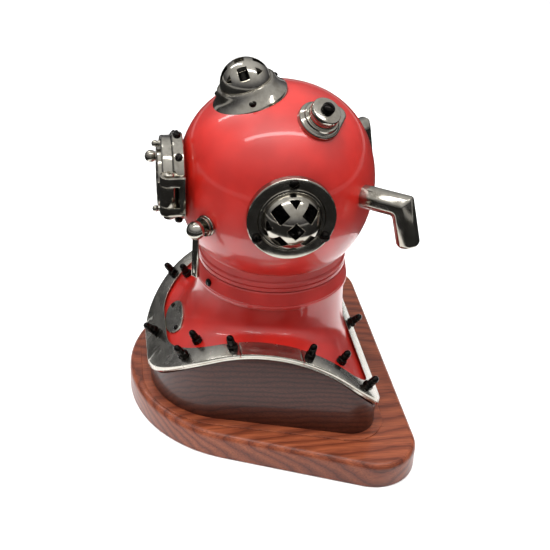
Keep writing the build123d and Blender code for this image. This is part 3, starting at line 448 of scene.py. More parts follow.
class Bench:
    """Modelling steps on the active object, in millimetres."""

    @staticmethod
    def take(obj: bpy.types.Object) -> None:
        """Make an object the only selected one, and active."""
        bpy.ops.object.select_all(action="DESELECT")
        obj.select_set(True)
        bpy.context.view_layer.objects.active = obj

    def fresh(self, name: str) -> bpy.types.Object:
        """Name the primitive that was just added, and return it."""
        obj = bpy.context.active_object
        obj.name = name
        obj.data.name = name
        return obj

    def edit(self, obj: bpy.types.Object) -> None:
        """Enter edit mode on an object with everything selected."""
        self.take(obj)
        bpy.ops.object.mode_set(mode="EDIT")
        bpy.ops.mesh.select_all(action="SELECT")

    @staticmethod
    def leave() -> None:
        """Back to object mode."""
        bpy.ops.object.mode_set(mode="OBJECT")

    def apply(self, obj: bpy.types.Object, kind: str, **settings: object) -> bpy.types.Object:
        """Add a modifier with its settings and apply it."""
        self.take(obj)
        modifier = obj.modifiers.new(kind.lower(), kind)
        for name, value in settings.items():
            setattr(modifier, name, value)
        bpy.ops.object.modifier_apply(modifier=modifier.name)
        return obj

    def bevel(
        self, obj: bpy.types.Object, width: float, segments: int = 2, angle: float = 30.0
    ) -> bpy.types.Object:
        """Round every edge that is sharper than an angle.

        Args:
            obj: Piece to round.
            width: Width of the round in millimetres.
            segments: Steps in the round.
            angle: Smallest edge angle that is rounded, in degrees.

        Returns:
            The same piece.
        """
        return self.apply(
            obj, "BEVEL", width=width * MM, segments=segments, limit_method="ANGLE",
            angle_limit=math.radians(angle), miter_outer="MITER_ARC",
        )

    def smooth(self, obj: bpy.types.Object, angle: float = 32.0) -> bpy.types.Object:
        """Shade smooth except across edges sharper than an angle."""
        self.take(obj)
        bpy.ops.object.shade_smooth_by_angle(angle=math.radians(angle))
        return obj

    def outwards(self, obj: bpy.types.Object) -> bpy.types.Object:
        """Merge doubles and turn every face outwards."""
        self.edit(obj)
        bpy.ops.mesh.remove_doubles(threshold=1e-7)
        bpy.ops.mesh.select_all(action="SELECT")
        bpy.ops.mesh.normals_make_consistent(inside=False)
        self.leave()
        return obj

    def lathe(
        self, name: str, outline: Outline, segments: int = 96, looped: bool = False
    ) -> bpy.types.Object:
        """Turn an outline about Z by extruding and scaling a circle, as on a lathe.

        Args:
            name: Name of the new object.
            outline: Corners as (radius, height); a last radius of 0 closes to a point.
            segments: Vertices round the circle.
            looped: Whether the outline comes back to its first corner, as in a ring.

        Returns:
            The turned object, standing on the world origin.
        """
        radius, height = outline[0]
        bpy.ops.object.select_all(action="DESELECT")
        bpy.ops.mesh.primitive_circle_add(vertices=segments, radius=radius * MM, location=(0, 0, 0))
        obj = self.fresh(name)
        self.edit(obj)
        bpy.ops.transform.translate(value=(0, 0, height * MM))
        corners = outline + outline[:1] if looped else outline
        for (radius, height), (wider, higher) in zip(corners, corners[1:]):
            bpy.ops.mesh.extrude_region_move(TRANSFORM_OT_translate={"value": (0, 0, (higher - height) * MM)})
            scale = wider / radius
            bpy.ops.transform.resize(value=(scale, scale, 1), center_override=(0, 0, higher * MM))
        bpy.ops.mesh.select_all(action="SELECT")
        bpy.ops.mesh.remove_doubles(threshold=1e-7)
        if not looped:
            bpy.ops.mesh.select_all(action="SELECT")
            bpy.ops.mesh.fill_holes(sides=0)
        self.leave()
        return self.outwards(obj)

    def hull(self, name: str, circles: list[Spot], low: float, high: float) -> bpy.types.Object:
        """Board cut to the hull of several circles.

        Args:
            name: Name of the new object.
            circles: (x, y, radius) of each circle.
            low: Height of the underside.
            high: Height of the top.

        Returns:
            The board.
        """
        bpy.ops.object.select_all(action="DESELECT")
        obj = None
        for x, y, radius in circles:
            spot = (x * MM, y * MM, (low + high) / 2 * MM)
            bpy.ops.mesh.primitive_cylinder_add(
                vertices=128, radius=radius * MM, depth=(high - low) * MM, location=spot
            )
            if obj is None:
                obj = self.fresh(name)
                bpy.ops.object.transform_apply(location=True, rotation=True, scale=True)
                self.edit(obj)
        bpy.ops.mesh.select_all(action="SELECT")
        bpy.ops.mesh.convex_hull()
        bpy.ops.mesh.select_all(action="SELECT")
        bpy.ops.mesh.dissolve_limited(angle_limit=math.radians(0.3))
        self.leave()
        return self.outwards(obj)

    def loops(self, name: str, rows: list[list[Vector]], closed: bool = False) -> bpy.types.Object:
        """Skin over rows of points: a circle is extruded once per row and its corners are set in place.

        Args:
            name: Name of the new object.
            rows: Closed rows of equally many points, in millimetres.
            closed: Whether the last row joins the first.

        Returns:
            The skin, open at its first and last rows unless it is closed.
        """
        count = len(rows[0])
        bpy.ops.object.select_all(action="DESELECT")
        bpy.ops.mesh.primitive_circle_add(vertices=count, radius=1, location=(0, 0, 0))
        obj = self.fresh(name)
        self.edit(obj)
        for _ in rows[1:]:
            bpy.ops.mesh.extrude_region_move(TRANSFORM_OT_translate={"value": (0, 0, 1)})
        self.leave()
        if closed:
            for vertex in obj.data.vertices:
                vertex.select = round(vertex.co.z) in (0, len(rows) - 1)
            for edge in obj.data.edges:
                ends = [obj.data.vertices[end] for end in edge.vertices]
                edge.select = all(end.select for end in ends) and abs(ends[0].co.z - ends[1].co.z) < 0.5
            for polygon in obj.data.polygons:
                polygon.select = False
            self.take(obj)
            bpy.ops.object.mode_set(mode="EDIT")
            bpy.ops.mesh.bridge_edge_loops()
            self.leave()
        for vertex in obj.data.vertices:
            place = round(math.atan2(vertex.co.y, vertex.co.x) / TURN * count) % count
            vertex.co = rows[round(vertex.co.z)][place] * MM
        return obj

    def slotted(self, piece: bpy.types.Object, height: float, size: Spot) -> bpy.types.Object:
        """Saw a driver slot across a turned head, about a height on its axis."""
        bpy.ops.object.select_all(action="DESELECT")
        bpy.ops.mesh.primitive_cube_add(size=1, location=(0, 0, height * MM))
        slot = self.fresh("slot")
        slot.scale = [side * MM for side in size]
        bpy.ops.object.transform_apply(location=True, rotation=True, scale=True)
        return self.cut(piece, slot)

    def put(self, obj: bpy.types.Object, seat: Seat) -> bpy.types.Object:
        """Move a piece made on the origin to a seat and bake its place into its mesh."""
        obj.matrix_world = seat.matrix()
        self.take(obj)
        bpy.ops.object.transform_apply(location=True, rotation=True, scale=True)
        return obj

    def cut(self, obj: bpy.types.Object, tool: bpy.types.Object, how: Cut = Cut.AWAY) -> bpy.types.Object:
        """Boolean with a tool, which is used up."""
        self.apply(obj, "BOOLEAN", operation=how.value, object=tool, solver="EXACT")
        bpy.data.objects.remove(tool)
        return obj

    def join(self, name: str, pieces: list[bpy.types.Object]) -> bpy.types.Object:
        """Several objects as one."""
        bpy.ops.object.select_all(action="DESELECT")
        for piece in pieces:
            piece.select_set(True)
        bpy.context.view_layer.objects.active = pieces[0]
        if len(pieces) > 1:
            bpy.ops.object.join()
        pieces[0].name = name
        pieces[0].data.name = name
        return pieces[0]

    def copies(self, name: str, master: bpy.types.Object, seats: list[Seat]) -> bpy.types.Object:
        """A copy of a master on each seat, as one object; the master is used up."""
        made = []
        for seat in seats:
            copy = bpy.data.objects.new(name, master.data.copy())
            bpy.context.scene.collection.objects.link(copy)
            made.append(self.put(copy, seat))
        bpy.data.objects.remove(master)
        return self.join(name, made)

    def refined(self, name: str, node: str, width: float = 0.3) -> bpy.types.Object:
        """Copy of a frame node with merged faces and rounded edges.

        Args:
            name: Name of the new object.
            node: Frame node that is copied.
            width: Width of the rounds in millimetres.

        Returns:
            The refined copy.
        """
        obj = bpy.data.objects.new(name, frame["nodes"][node].data.copy())
        bpy.context.scene.collection.objects.link(obj)
        self.edit(obj)
        bpy.ops.mesh.remove_doubles(threshold=1e-6)
        bpy.ops.mesh.select_all(action="SELECT")
        bpy.ops.mesh.customdata_custom_splitnormals_clear()
        bpy.ops.mesh.dissolve_limited(angle_limit=math.radians(0.5))
        self.leave()
        self.bevel(obj, width, 2, 35)
        return self.smooth(obj)


@dataclass
class Assembly:
    """Base of every sub-assembly: a bench, the finishes, and how a finished piece is handed over."""

    bench: Bench
    finishes: Finishes

    def keep(self, piece: bpy.types.Object, nodes: list[str], body: Body, *finish: str) -> bpy.types.Object:
        """Dress a piece, hang it on its body and let it stand for its frame nodes."""
        self.finishes.dress(piece, *finish)
        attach(piece, body.value)
        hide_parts(*nodes)
        LOG.info("%s: %d faces", piece.name, len(piece.data.polygons))
        return piece

    def paint(self, node: str, finish: str) -> None:
        """Give a frame node that keeps its own mesh a finish."""
        piece = frame["nodes"][node]
        self.finishes.dress(piece, finish)
        LOG.info("%s: painted %s", node, finish)


def arc(
    radius: float, start: float, end: float, steps: int, centre: tuple[float, float] = (0.0, 0.0)
) -> Outline:
    """Points of an arc in an outline, from one angle to another in degrees."""
    points = []
    for number in range(steps + 1):
        angle = math.radians(start + (end - start) * number / steps)
        points.append((centre[0] + radius * math.cos(angle), centre[1] + radius * math.sin(angle)))
    return points


# ---------------------------------------------------------------------------------------------
# Fasteners
# ---------------------------------------------------------------------------------------------


@dataclass
class Fasteners(Assembly):
    """Screws, studs and nuts: each kind is made once and copied."""

    stud_r: float = 1.3
    stud_top: float = 8.8
    nut_flats: float = 5.4
    nut_h: float = 3.0
    cap_r: float = 2.2
    slot_w: float = 0.8

    def pan_head(self, radius: float, height: float, shank: float, length: float) -> bpy.types.Object:
        """Domed slotted head on a plain shank.

        Args:
            radius: Radius of the head.
            height: Height of the head.
            shank: Radius of the shank.
            length: Length of the shank.

        Returns:
            The screw, its head standing on the origin.
        """
        rim = [
            (shank, -length), (shank, 0.0), (0.96 * radius, 0.0), (radius, 0.12 * height),
            (radius, 0.42 * height)
        ]
        crown = [
            (0.93 * radius, 0.68 * height), (0.74 * radius, 0.9 * height), (0.4 * radius, height),
            (0.01, 1.02 * height)
        ]
        screw = self.bench.lathe("screw", rim + crown, 40)
        self.bench.slotted(screw, height, (4 * radius, self.slot_w, 0.9 * height))
        self.bench.bevel(screw, 0.08, 2, 40)
        return self.bench.smooth(screw)

    def hex_nut(self, flats: float, height: float, bore: float) -> bpy.types.Object:
        """Hexagon nut with turned corners, its underside on the origin."""
        bpy.ops.object.select_all(action="DESELECT")
        corner = flats / math.sqrt(3)
        bpy.ops.mesh.primitive_cylinder_add(
            vertices=6, radius=corner * MM, depth=height * MM, location=(0, 0, height / 2 * MM)
        )
        nut = self.bench.fresh("nut")
        bpy.ops.object.transform_apply(location=True, rotation=True, scale=True)
        inner = 0.92 * flats / 2
        shell = [(inner, 0.0), (1.02 * corner, 0.2 * height), (1.02 * corner, 0.78 * height), (inner, height)]
        self.bench.cut(nut, self.bench.lathe("turned", shell, 48), Cut.COMMON)
        self.bench.cut(nut, self.bench.lathe("bore", [(bore, -1.0), (bore, height + 1.0)], 32))
        self.bench.bevel(nut, 0.14, 2, 25)
        return self.bench.smooth(nut, 28)

    def collar_nut(self) -> bpy.types.Object:
        """Bullet-shaped cap nut above a hexagon nut, with a waist between its collar and its dome."""
        low, wide = self.nut_h, self.cap_r
        outline = [
            (0.9 * wide, low), (wide, low + 0.3), (wide, low + 2.2), (0.9 * wide, low + 2.5), (
                0.97 * wide, low + 2.8
            ),
            (
                0.95 * wide, low + 3.8
            ), (0.83 * wide, low + 4.8), (0.6 * wide, low + 5.5), (0.3 * wide, low + 5.9), (0.01, low + 6.0),
        ]
        return self.bench.smooth(self.bench.lathe("cap", outline, 36), 34)

    def stud(self) -> bpy.types.Object:
        """Plain stud with a rounded tip."""
        radius, top = self.stud_r, self.stud_top
        stem = [(0.8 * radius, -7.0), (radius, -6.6), (radius, top - 1.0)]
        dome = [
            (0.92 * radius, top - 0.5), (0.7 * radius, top - 0.16), (0.36 * radius, top - 0.02), (0.01, top)
        ]
        return self.bench.smooth(self.bench.lathe("stud", stem + dome, 28), 40)


# ---------------------------------------------------------------------------------------------
# Stand
# ---------------------------------------------------------------------------------------------


@dataclass
class Saddle:
    """Curved surface the clamped rim is bent to, and the outlines of the rim."""

    radius: float = 76.0
    top: float = 66.5
    centre_y: float = -8.6
    front: Spot = (12.0, -24.0, 49.5)
    back: Spot = (63.0, 38.0, 17.0)
    inner_front: Spot = (12.0, -24.0, 38.0)
    inner_back: Spot = (58.5, 37.5, 9.8)

    def height(self, y: float, sink: float = 0.0) -> float:
        """Height of the surface, or of one sunk below it, at a place along Y."""
        reach = self.radius - sink
        return self.top - self.radius + math.sqrt(max(reach * reach - (y - self.centre_y) ** 2, 0.0))

    def seat(self, x: float, y: float, sink: float = 0.0) -> Seat:
        """Seat square to the surface at a place in plan."""
        lean = (y - self.centre_y) / (self.radius - sink)
        return Seat((x, y, self.height(y, sink)), (0.0, lean, math.sqrt(1 - lean * lean)))

    @staticmethod
    def circles(front: Spot, back: Spot, grow: float = 0.0) -> list[Spot]:
        """The mirrored circles whose hull is an outline, grown by an amount."""
        return [(side * x, y, radius + grow) for x, y, radius in (front, back) for side in (-1, 1)]

    def reach(self, circles: list[Spot], angle: float) -> float:
        """How far a hull of circles reaches from the middle in one direction.

        Args:
            circles: (x, y, radius) of each circle.
            angle: Direction in radians.

        Returns:
            Distance from the neck axis to the hull.
        """
        heading = Vector((math.cos(angle), math.sin(angle)))
        best = 1e9
        for step in range(720):
            normal = Vector((math.cos(TURN * step / 720), math.sin(TURN * step / 720)))
            along = heading.dot(normal)
            if along > 1e-4:
                support = max(normal.dot(Vector((x, y))) + radius for x, y, radius in circles)
                best = min(best, support / along)
        return best


@dataclass
class Stand(Assembly):
    """Two-tier stand: a plinth with a routed step, and the riser block with its saddle top."""

    saddle: Saddle = field(default_factory=Saddle)
    plinth_front: Spot = (0.0, -5.0, 78.6)
    plinth_back: Spot = (80.0, 49.0, 24.5)
    plinth_round: float = 3.6
    step_reach: float = 3.2
    step_h: float = 0.7
    riser_inset: float = 2.0
    riser_round: float = 1.8
    saddle_sink: float = 4.6
    screw_spots: tuple[tuple[float, float], ...] = ((0.0, -45.0), (-38.0, 25.0), (38.0, 25.0))

    def build(self) -> None:
        """Build the plinth and the riser, and paint the screws under them."""
        self.keep(self.plinth(), ["plinth"], Body.STAND, "wood")
        self.keep(self.riser(), ["riser_block"], Body.STAND, "riser_wood_painted_shade")
        self.paint("stand_screws", "black")
        # The black band between the plate and the riser is partly a gasket and partly painted shade: it also
        # stands for the shadow under the plate's rim.
        self.paint("gasket_band", "rubber")

    def plinth(self) -> bpy.types.Object:
        """Board with a rounded top edge and a low step round the riser."""
        _, high = low_high("plinth")
        board = self.bench.hull(
            "plinth_board", self.saddle.circles(self.plinth_front, self.plinth_back), 0.0, high.z
        )
        for x, y in self.screw_spots:
            hole = self.bench.lathe("hole", [(4.2, -1.0), (4.2, 3.4), (2.1, 3.5), (2.1, high.z - 1.5)], 32)
            self.bench.cut(board, self.bench.put(hole, Seat((x, y, 0.0))))
        bevelled = self.edge_weight(board, high.z)
        self.bench.apply(
            bevelled, "BEVEL", width=self.plinth_round * MM, segments=7, limit_method="WEIGHT",
            use_clamp_overlap=False
        )
        circles = self.saddle.circles(self.saddle.front, self.saddle.back, self.step_reach)
        step = self.bench.hull("plinth_step", circles, high.z - 2.0, high.z + self.step_h)
        self.bench.bevel(step, 0.6, 3, 40)
        return self.bench.smooth(self.bench.join("plinth_board", [bevelled, step]), 25)

    def edge_weight(self, board: bpy.types.Object, height: float) -> bpy.types.Object:
        """Mark the outer edges at the top fully and those at the bottom lightly for the bevel."""
        weights = board.data.attributes.new("bevel_weight_edge", "FLOAT", "EDGE")
        for edge in board.data.edges:
            ends = [board.data.vertices[place].co / MM for place in edge.vertices]
            inside = all(
                any(math.hypot(end.x - x, end.y - y) < 6 for x, y in self.screw_spots) for end in ends
            )
            if inside:
                continue
            if all(end.z > height - 0.01 for end in ends):
                weights.data[edge.index].value = 1.0
            elif all(end.z < 0.01 for end in ends):
                weights.data[edge.index].value = 0.25
        return board

    def riser(self) -> bpy.types.Object:
        """Block whose top follows the saddle, with the edge rounded over."""
        low, _ = low_high("riser_block")
        circles = self.saddle.circles(self.saddle.front, self.saddle.back, -self.riser_inset)
        block = self.bench.hull("riser_board", circles, low.z, self.saddle.top + 5)
        reach = self.saddle.radius - self.saddle_sink
        drum = self.bench.lathe("saddle_drum", [(reach, -130.0), (reach, 130.0)], 360)
        across = Seat(
            (0.0, self.saddle.centre_y, self.saddle.top - self.saddle.radius), (1.0, 0.0, 0.0),
            (0.0, 1.0, 0.0)
        )
        self.bench.cut(block, self.bench.put(drum, across), Cut.COMMON)
        self.bench.bevel(block, self.riser_round, 5, 32)
        return self.bench.smooth(block, 30)


# ---------------------------------------------------------------------------------------------
# Breastplate
# ---------------------------------------------------------------------------------------------


@dataclass
class Breastplate(Assembly):
    """Flared plate, its clamping straps, studs and nuts, and the blank oval plate."""

    fasteners: Fasteners | None = None
    saddle: Saddle = field(default_factory=Saddle)
    strap_t: float = 1.8
    sheet_t: float = 1.2
    flare: tuple[Spot, ...] = (
        (79.1, 0.0, 43.2), (72.5, -0.4, 43.5), (66.0, -1.0, 44.4), (59.0, -2.3, 46.1), (52.0, -4.0, 48.6),
        (44.0, -6.0, 51.7), (36.0, -8.5, 55.0),
    )
    blend: float = 7.0
    strap_studs: tuple[tuple[float, float], ...] = (
        (0.0, -67.7), (43.9, -53.9), (55.6, -28.5), (67.0, 12.0), (72.4, 44.0), (0.0, 51.2)
    )
    plate_studs: tuple[tuple[float, float], ...] = ((35.5, -45.5), (59.0, 31.5))
    seams: tuple[float, float] = (-25.0, 8.0)
    slit: float = 0.4
    oval_size: Spot = (15.0, 7.6, 1.2)
    oval_seat: Seat = Seat((0.0, -55.5, 47.5), (0.0, -0.67, 0.74))

    def build(self) -> None:
        """Build the plate, the straps and every fastener on them."""
        shell = self.keep(self.plate(), ["breastplate"], Body.STAND, "red", "satin")
        for node, piece in self.straps().items():
            self.keep(piece, [node], Body.STAND, "satin")
        sets = (("strap", self.strap_studs, 0.0), ("rim", self.plate_studs, self.strap_t))
        for prefix, spots, sink in sets:
            seats = [
                self.saddle.seat(x * side, y, sink) for x, y in spots for side in ((-1, 1) if x else (1,))
            ]
            turned = [
                Seat(seat.origin, seat.axis, (math.cos(7.0 * n), math.sin(7.0 * n), 0.0)) for n,
                seat in enumerate(seats)
            ]
            masters = {
                "studs": self.fasteners.stud(),
                "hex_nuts": self.fasteners.hex_nut(
                    self.fasteners.nut_flats, self.fasteners.nut_h, self.fasteners.stud_r
                ),
                "cap_nuts": self.fasteners.collar_nut(),
            }
            for kind, master in masters.items():
                piece = self.bench.copies(f"{prefix}_{kind}_turned", master, turned)
                self.keep(piece, [f"{prefix}_{kind}"], Body.STAND, "black")
        self.oval(shell)

    def outline(self) -> list[float]:
        """Directions that space points evenly along the rim."""
        circles = self.saddle.circles(self.saddle.front, self.saddle.back)
        fine = [TURN * step / 1440 for step in range(1440)]
        spots = [Vector((math.cos(a), math.sin(a))) * self.saddle.reach(circles, a) for a in fine]
        travel, count = [0.0], 256
        for before, after in zip(spots, spots[1:] + spots[:1]):
            travel.append(travel[-1] + (after - before).length)
        angles, place = [], 0
        for step in range(count):
            goal = travel[-1] * step / count
            while travel[place + 1] < goal:
                place += 1
            angles.append(fine[place])
        return angles

    def ring(self, place: float) -> tuple[float, ...]:
        """Height, shift and radius of the flare at a place along its rings, on a smooth curve."""
        first = min(int(place), len(self.flare) - 2)
        t = place - first
        four = [self.flare[max(0, min(len(self.flare) - 1, first + near))] for near in (-1, 0, 1, 2)]
        return tuple(
            0.5 * (2 * b + (c - a) * t + (2 * a - 5 * b + 4 * c - d) * t * t + (3 * b - a - 3 * c + d) * t**3)
            for a, b, c, d in zip(*four)
        )

    @staticmethod
    def point_on(line: list[Vector], travel: list[float], goal: float) -> Vector:
        """Point at a distance along a line, given the distance at each of its corners."""
        place = next(
            number for number, far in enumerate(travel[1:]) if far >= goal or number == len(travel) - 2
        )
        share = (goal - travel[place]) / (travel[place + 1] - travel[place])
        return line[place].lerp(line[place + 1], share)

    def side_curve(self, angle: float, rim: float) -> list[Vector]:
        """Section of the plate in one direction: down the flare, round the foot and out to the rim."""
        heading = Vector((math.cos(angle), math.sin(angle), 0.0))
        wall = []
        for step in range(8 * (len(self.flare) - 1) + 1):
            height, shift, radius = self.ring(step / 8)
            point = heading * (heading.y * shift + math.sqrt(radius**2 - (heading.x * shift) ** 2))
            point.z = height
            wall.append(point)
        sink = self.strap_t
        gaps = [point.z - self.saddle.height(point.y, sink) for point in wall]
        cross = next(number for number, gap in enumerate(gaps) if gap <= 0)
        foot = wall[cross - 1].lerp(wall[cross], gaps[cross - 1] / (gaps[cross - 1] - gaps[cross]))
        line = wall[:cross] + [foot]
        travel = [0.0]
        for before, after in zip(line, line[1:]):
            travel.append(travel[-1] + (after - before).length)
        stop = travel[-1] - 0.8 * self.blend
        rows = [self.point_on(line, travel, stop * step / 6) for step in range(7)]
        start = rows[-1]
        lead = foot.xy.length + self.blend
        end = heading * lead
        end.z = self.saddle.height(end.y, sink)
        for step in range(1, 8):
            t = step / 8
            rows.append((1 - t) ** 2 * start + 2 * t * (1 - t) * foot + t * t * end)
        for step in range(9):
            reach = lead + (rim - lead) * step / 8
            point = heading * reach
            point.z = self.saddle.height(point.y, sink)
            rows.append(point)
        return rows

    def plate(self) -> bpy.types.Object:
        """Flared plate of one thickness with a soft foot; its rim is plated."""
        circles = self.saddle.circles(self.saddle.front, self.saddle.back, -0.15)
        angles = self.outline()
        columns = [self.side_curve(angle, self.saddle.reach(circles, angle)) for angle in angles]
        rows = [[column[row] for column in columns] for row in range(len(columns[0]))]
        plate = self.bench.loops("breastplate_shell", rows)
        self.bench.edit(plate)
        bpy.ops.mesh.normals_make_consistent(inside=False)
        self.bench.leave()
        if sum(polygon.normal.z for polygon in plate.data.polygons) < 0:
            self.bench.edit(plate)
            bpy.ops.mesh.flip_normals()
            self.bench.leave()
        self.bench.apply(plate, "SOLIDIFY", thickness=self.sheet_t * MM, offset=-1, use_even_offset=True)
        self.finishes.dress(plate, "red", "satin")
        self.mark_rim(plate)
        self.bench.smooth(plate, 40)
        return plate

    def mark_rim(self, plate: bpy.types.Object) -> None:
        """Give the narrow rim of the plate its second material."""
        circles = self.saddle.circles(self.saddle.front, self.saddle.back, -0.15)
        for polygon in plate.data.polygons:
            spot = polygon.center / MM
            if abs(polygon.normal.z) < 0.6 and spot.xy.length > 52.0:
                reach = self.saddle.reach(circles, math.atan2(spot.y, spot.x))
                if spot.xy.length > reach - 0.4:
                    polygon.material_index = 1

    def straps(self) -> dict[str, bpy.types.Object]:
        """Four straps cut from one bent ring."""
        outer = self.saddle.circles(self.saddle.front, self.saddle.back)
        inner = self.saddle.circles(self.saddle.inner_front, self.saddle.inner_back)
        angles = self.outline()
        pieces = {}
        cuts = {
            "strap_front": (-200.0, self.seams[0] - self.slit / 2, 0),
            "strap_back": (self.seams[1] + self.slit / 2, 200.0, 0),
            "strap_left": (self.seams[0] + self.slit / 2, self.seams[1] - self.slit / 2, 1),
            "strap_right": (self.seams[0] + self.slit / 2, self.seams[1] - self.slit / 2, -1),
        }
        rows = []
        for circles, sink in ((inner, 0.0), (outer, 0.0), (outer, self.strap_t), (inner, self.strap_t)):
            row = []
            for angle in angles:
                reach = self.saddle.reach(circles, angle)
                y = math.sin(angle) * reach
                row.append(Vector((math.cos(angle) * reach, y, self.saddle.height(y, sink))))
            rows.append(row)
        for node, (low, high, side) in cuts.items():
            strap = self.bench.outwards(self.bench.loops(f"{node}_strip", rows, closed=True))
            planes = [((0, low, 0), (0, 1, 0), low > -150), ((0, high, 0), (0, -1, 0), high < 150)]
            planes.append(((0, 0, 0), (side, 0, 0), side != 0))
            for spot, normal, wanted in planes:
                if wanted:
                    self.bench.edit(strap)
                    bpy.ops.mesh.bisect(
                        plane_co=[
                            value * MM for value in spot
                        ], plane_no=normal, use_fill=True, clear_inner=True
                    )
                    self.bench.leave()
            self.bench.bevel(strap, 0.4, 3, 40)
            pieces[node] = self.bench.smooth(strap, 30)
        return pieces

    def oval(self, shell: bpy.types.Object) -> None:
        """Blank oval plate that follows the shell, with a rounded edge and two screws."""
        bpy.context.view_layer.update()
        wide, deep, thick = self.oval_size
        outline = [
            (1.0, -0.6), (1.0, 0.7 * thick), (0.985, 0.92 * thick), (0.95, thick), (0.8, thick), (0.6, thick),
            (0.4, thick), (0.2, thick), (0.01, thick)
        ]
        plate = self.bench.lathe("chest_plate_blank", outline, 96)
        for vertex in plate.data.vertices:
            x, y, rise = vertex.co.x / MM * wide, vertex.co.y / MM * deep, vertex.co.z / MM
            vertex.co = self.on_shell(shell, x, y, rise) * MM
        self.keep(self.bench.smooth(plate, 40), ["chest_plate"], Body.STAND, "satin")
        seats = [
            Seat(
                tuple(self.on_shell(shell, side * (wide - 3.2), 0.0, thick)), self.oval_seat.axis,
                (0.8, 0.5 * side, 0.3)
            ) for side in (-1, 1)
        ]
        screws = self.bench.copies(
            "chest_plate_pan_screws", self.fasteners.pan_head(1.5, 1.0, 0.6, 1.6), seats
        )
        self.keep(screws, ["chest_plate_screws"], Body.STAND, "black")

    def on_shell(self, shell: bpy.types.Object, x: float, y: float, rise: float) -> Vector:
        """Point above the shell's skin, in millimetres, at a place in the oval's own plane."""
        axis = Vector(self.oval_seat.axis).normalized()
        above = Vector(self.oval_seat.at(x, y, 40.0))
        _, spot, _, _ = shell.ray_cast(above * MM, -axis)
        return spot / MM + axis * rise


# ---------------------------------------------------------------------------------------------
# Neck and dome
# ---------------------------------------------------------------------------------------------


@dataclass
class Neck(Assembly):
    """The two rings of the neck joint."""

    groove: float = 0.45

    def build(self) -> None:
        """Build both rings and paint the lock screw."""
        low, high = low_high("breastplate_ring")
        wide, z0, z1 = high.y, low.z, high.z
        outline = [
            (40.6, z0), (wide - 0.7, z0), (wide, z0 + 0.6), (wide, z0 + 2.0), (wide - 0.35, z0 + 2.5),
            (wide - 0.35, z0 + 2.9), (wide - 0.15, z0 + 3.2), (wide - 1.5, z1 - 1.6), (wide - 1.7, z1 - 0.5),
            (wide - 2.2, z1), (40.6, z1),
        ]
        lower = self.bench.lathe("breastplate_ring_turned", outline, 192, looped=True)
        self.keep(self.bench.smooth(lower, 28), ["breastplate_ring"], Body.STAND, "red")
        low, high = low_high("helmet_ring")
        wide, z0, z1 = 42.4, high.z - 6.7, high.z
        groove = self.groove
        outline = [
            (37.1, low.z), (38.9, low.z), (38.9, z0), (wide - 0.5, z0), (wide, z0 + 0.5), (wide, z0 + 2.6),
            (wide - groove, z0 + 2.8), (wide - groove, z0 + 3.2), (wide, z0 + 3.4), (wide, z1 - 1.5),
            (wide - 0.4, z1 - 0.9), (wide - 0.9, z1 - 0.6), (wide - 0.9, z1), (37.1, z1),
        ]
        upper = self.bench.lathe("helmet_ring_turned", outline, 192, looped=True)
        self.keep(self.bench.smooth(upper, 28), ["helmet_ring"], Body.HELMET, "red")
        self.paint("lock_screw", "black")


@dataclass
class Dome(Assembly):
    """Spun dome: three tangent arcs turned about the neck axis, pierced for the lights."""

    wall: float = 1.4
    collar_r: float = 41.7
    shoulder: Spot = (0.818, 0.153, 0.138)
    crown: float = CROWN

    def outline(self, radius: float, centre_z: float, neck_z: float) -> Outline:
        """Half outline from the neck up to the crown.

        Args:
            radius: Largest radius of the dome.
            centre_z: Height of that radius.
            neck_z: Height of the dome's foot.

        Returns:
            Corners from the foot to the top.
        """
        bend, shift_x, shift_z = (share * radius for share in self.shoulder)
        crown = self.crown * radius
        square = shift_x**2 + shift_z**2
        reach, rise = radius - bend, crown - bend
        side_back = (square - reach**2) / (2 * (reach - shift_x))
        crown_down = (square - rise**2) / (2 * (rise - shift_z))
        low = math.degrees(math.atan2(shift_z, shift_x + side_back))
        high = math.degrees(math.atan2(shift_z + crown_down, shift_x))
        foot_x = self.collar_r - shift_x
        foot = -math.degrees(math.acos(foot_x / bend))
        points = [(self.collar_r, neck_z)]
        points += arc(bend, foot, -low, 14, (shift_x, centre_z - shift_z))
        points += arc(radius + side_back, -low, low, 16, (-side_back, centre_z))[1:]
        points += arc(bend, low, high, 26, (shift_x, centre_z + shift_z))[1:]
        top = arc(crown + crown_down, high, 90, 12, (0.0, centre_z - crown_down))[1:]
        return points + top[:-1] + [(1.2, top[-1][1])]

    def build(self, holes: list[tuple[Seat, float]]) -> None:
        """Turn the dome, pierce it and give it its wall.

        Args:
            holes: Seat on the dome's middle and radius of each hole.
        """
        _, high = low_high("dome")
        radius = high.y
        centre_z = high.z - self.crown * radius
        low, _ = low_high("dome")
        dome = self.bench.lathe("dome_spun", self.outline(radius, centre_z, low.z), 256)
        self.bench.edit(dome)
        bpy.ops.mesh.select_all(action="DESELECT")
        self.bench.leave()
        bottom = [
            polygon for polygon in dome.data.polygons
            if polygon.normal.z < -0.99 and polygon.center.z < (low.z + 0.1) * MM
        ]
        for polygon in bottom:
            polygon.select = True
        bpy.ops.object.mode_set(mode="EDIT")
        bpy.ops.mesh.select_mode(type="FACE")
        bpy.ops.mesh.delete(type="FACE")
        bpy.ops.mesh.select_mode(type="VERT")
        self.bench.leave()
        self.finishes.dress(dome, "red", "brass")
        self.bench.apply(
            dome, "SOLIDIFY", thickness=self.wall * MM, offset=-1, use_even_offset=True, material_offset=1
        )
        for seat, bore in holes:
            drill = self.bench.lathe("drill", [(bore, 30.0), (bore, 90.0)], 96)
            self.bench.cut(dome, self.bench.put(drill, seat))
        self.bench.smooth(dome, 35)
        self.keep(dome, ["dome"], Body.HELMET, "red", "brass")


# ---------------------------------------------------------------------------------------------
# Lights and fittings
# ---------------------------------------------------------------------------------------------


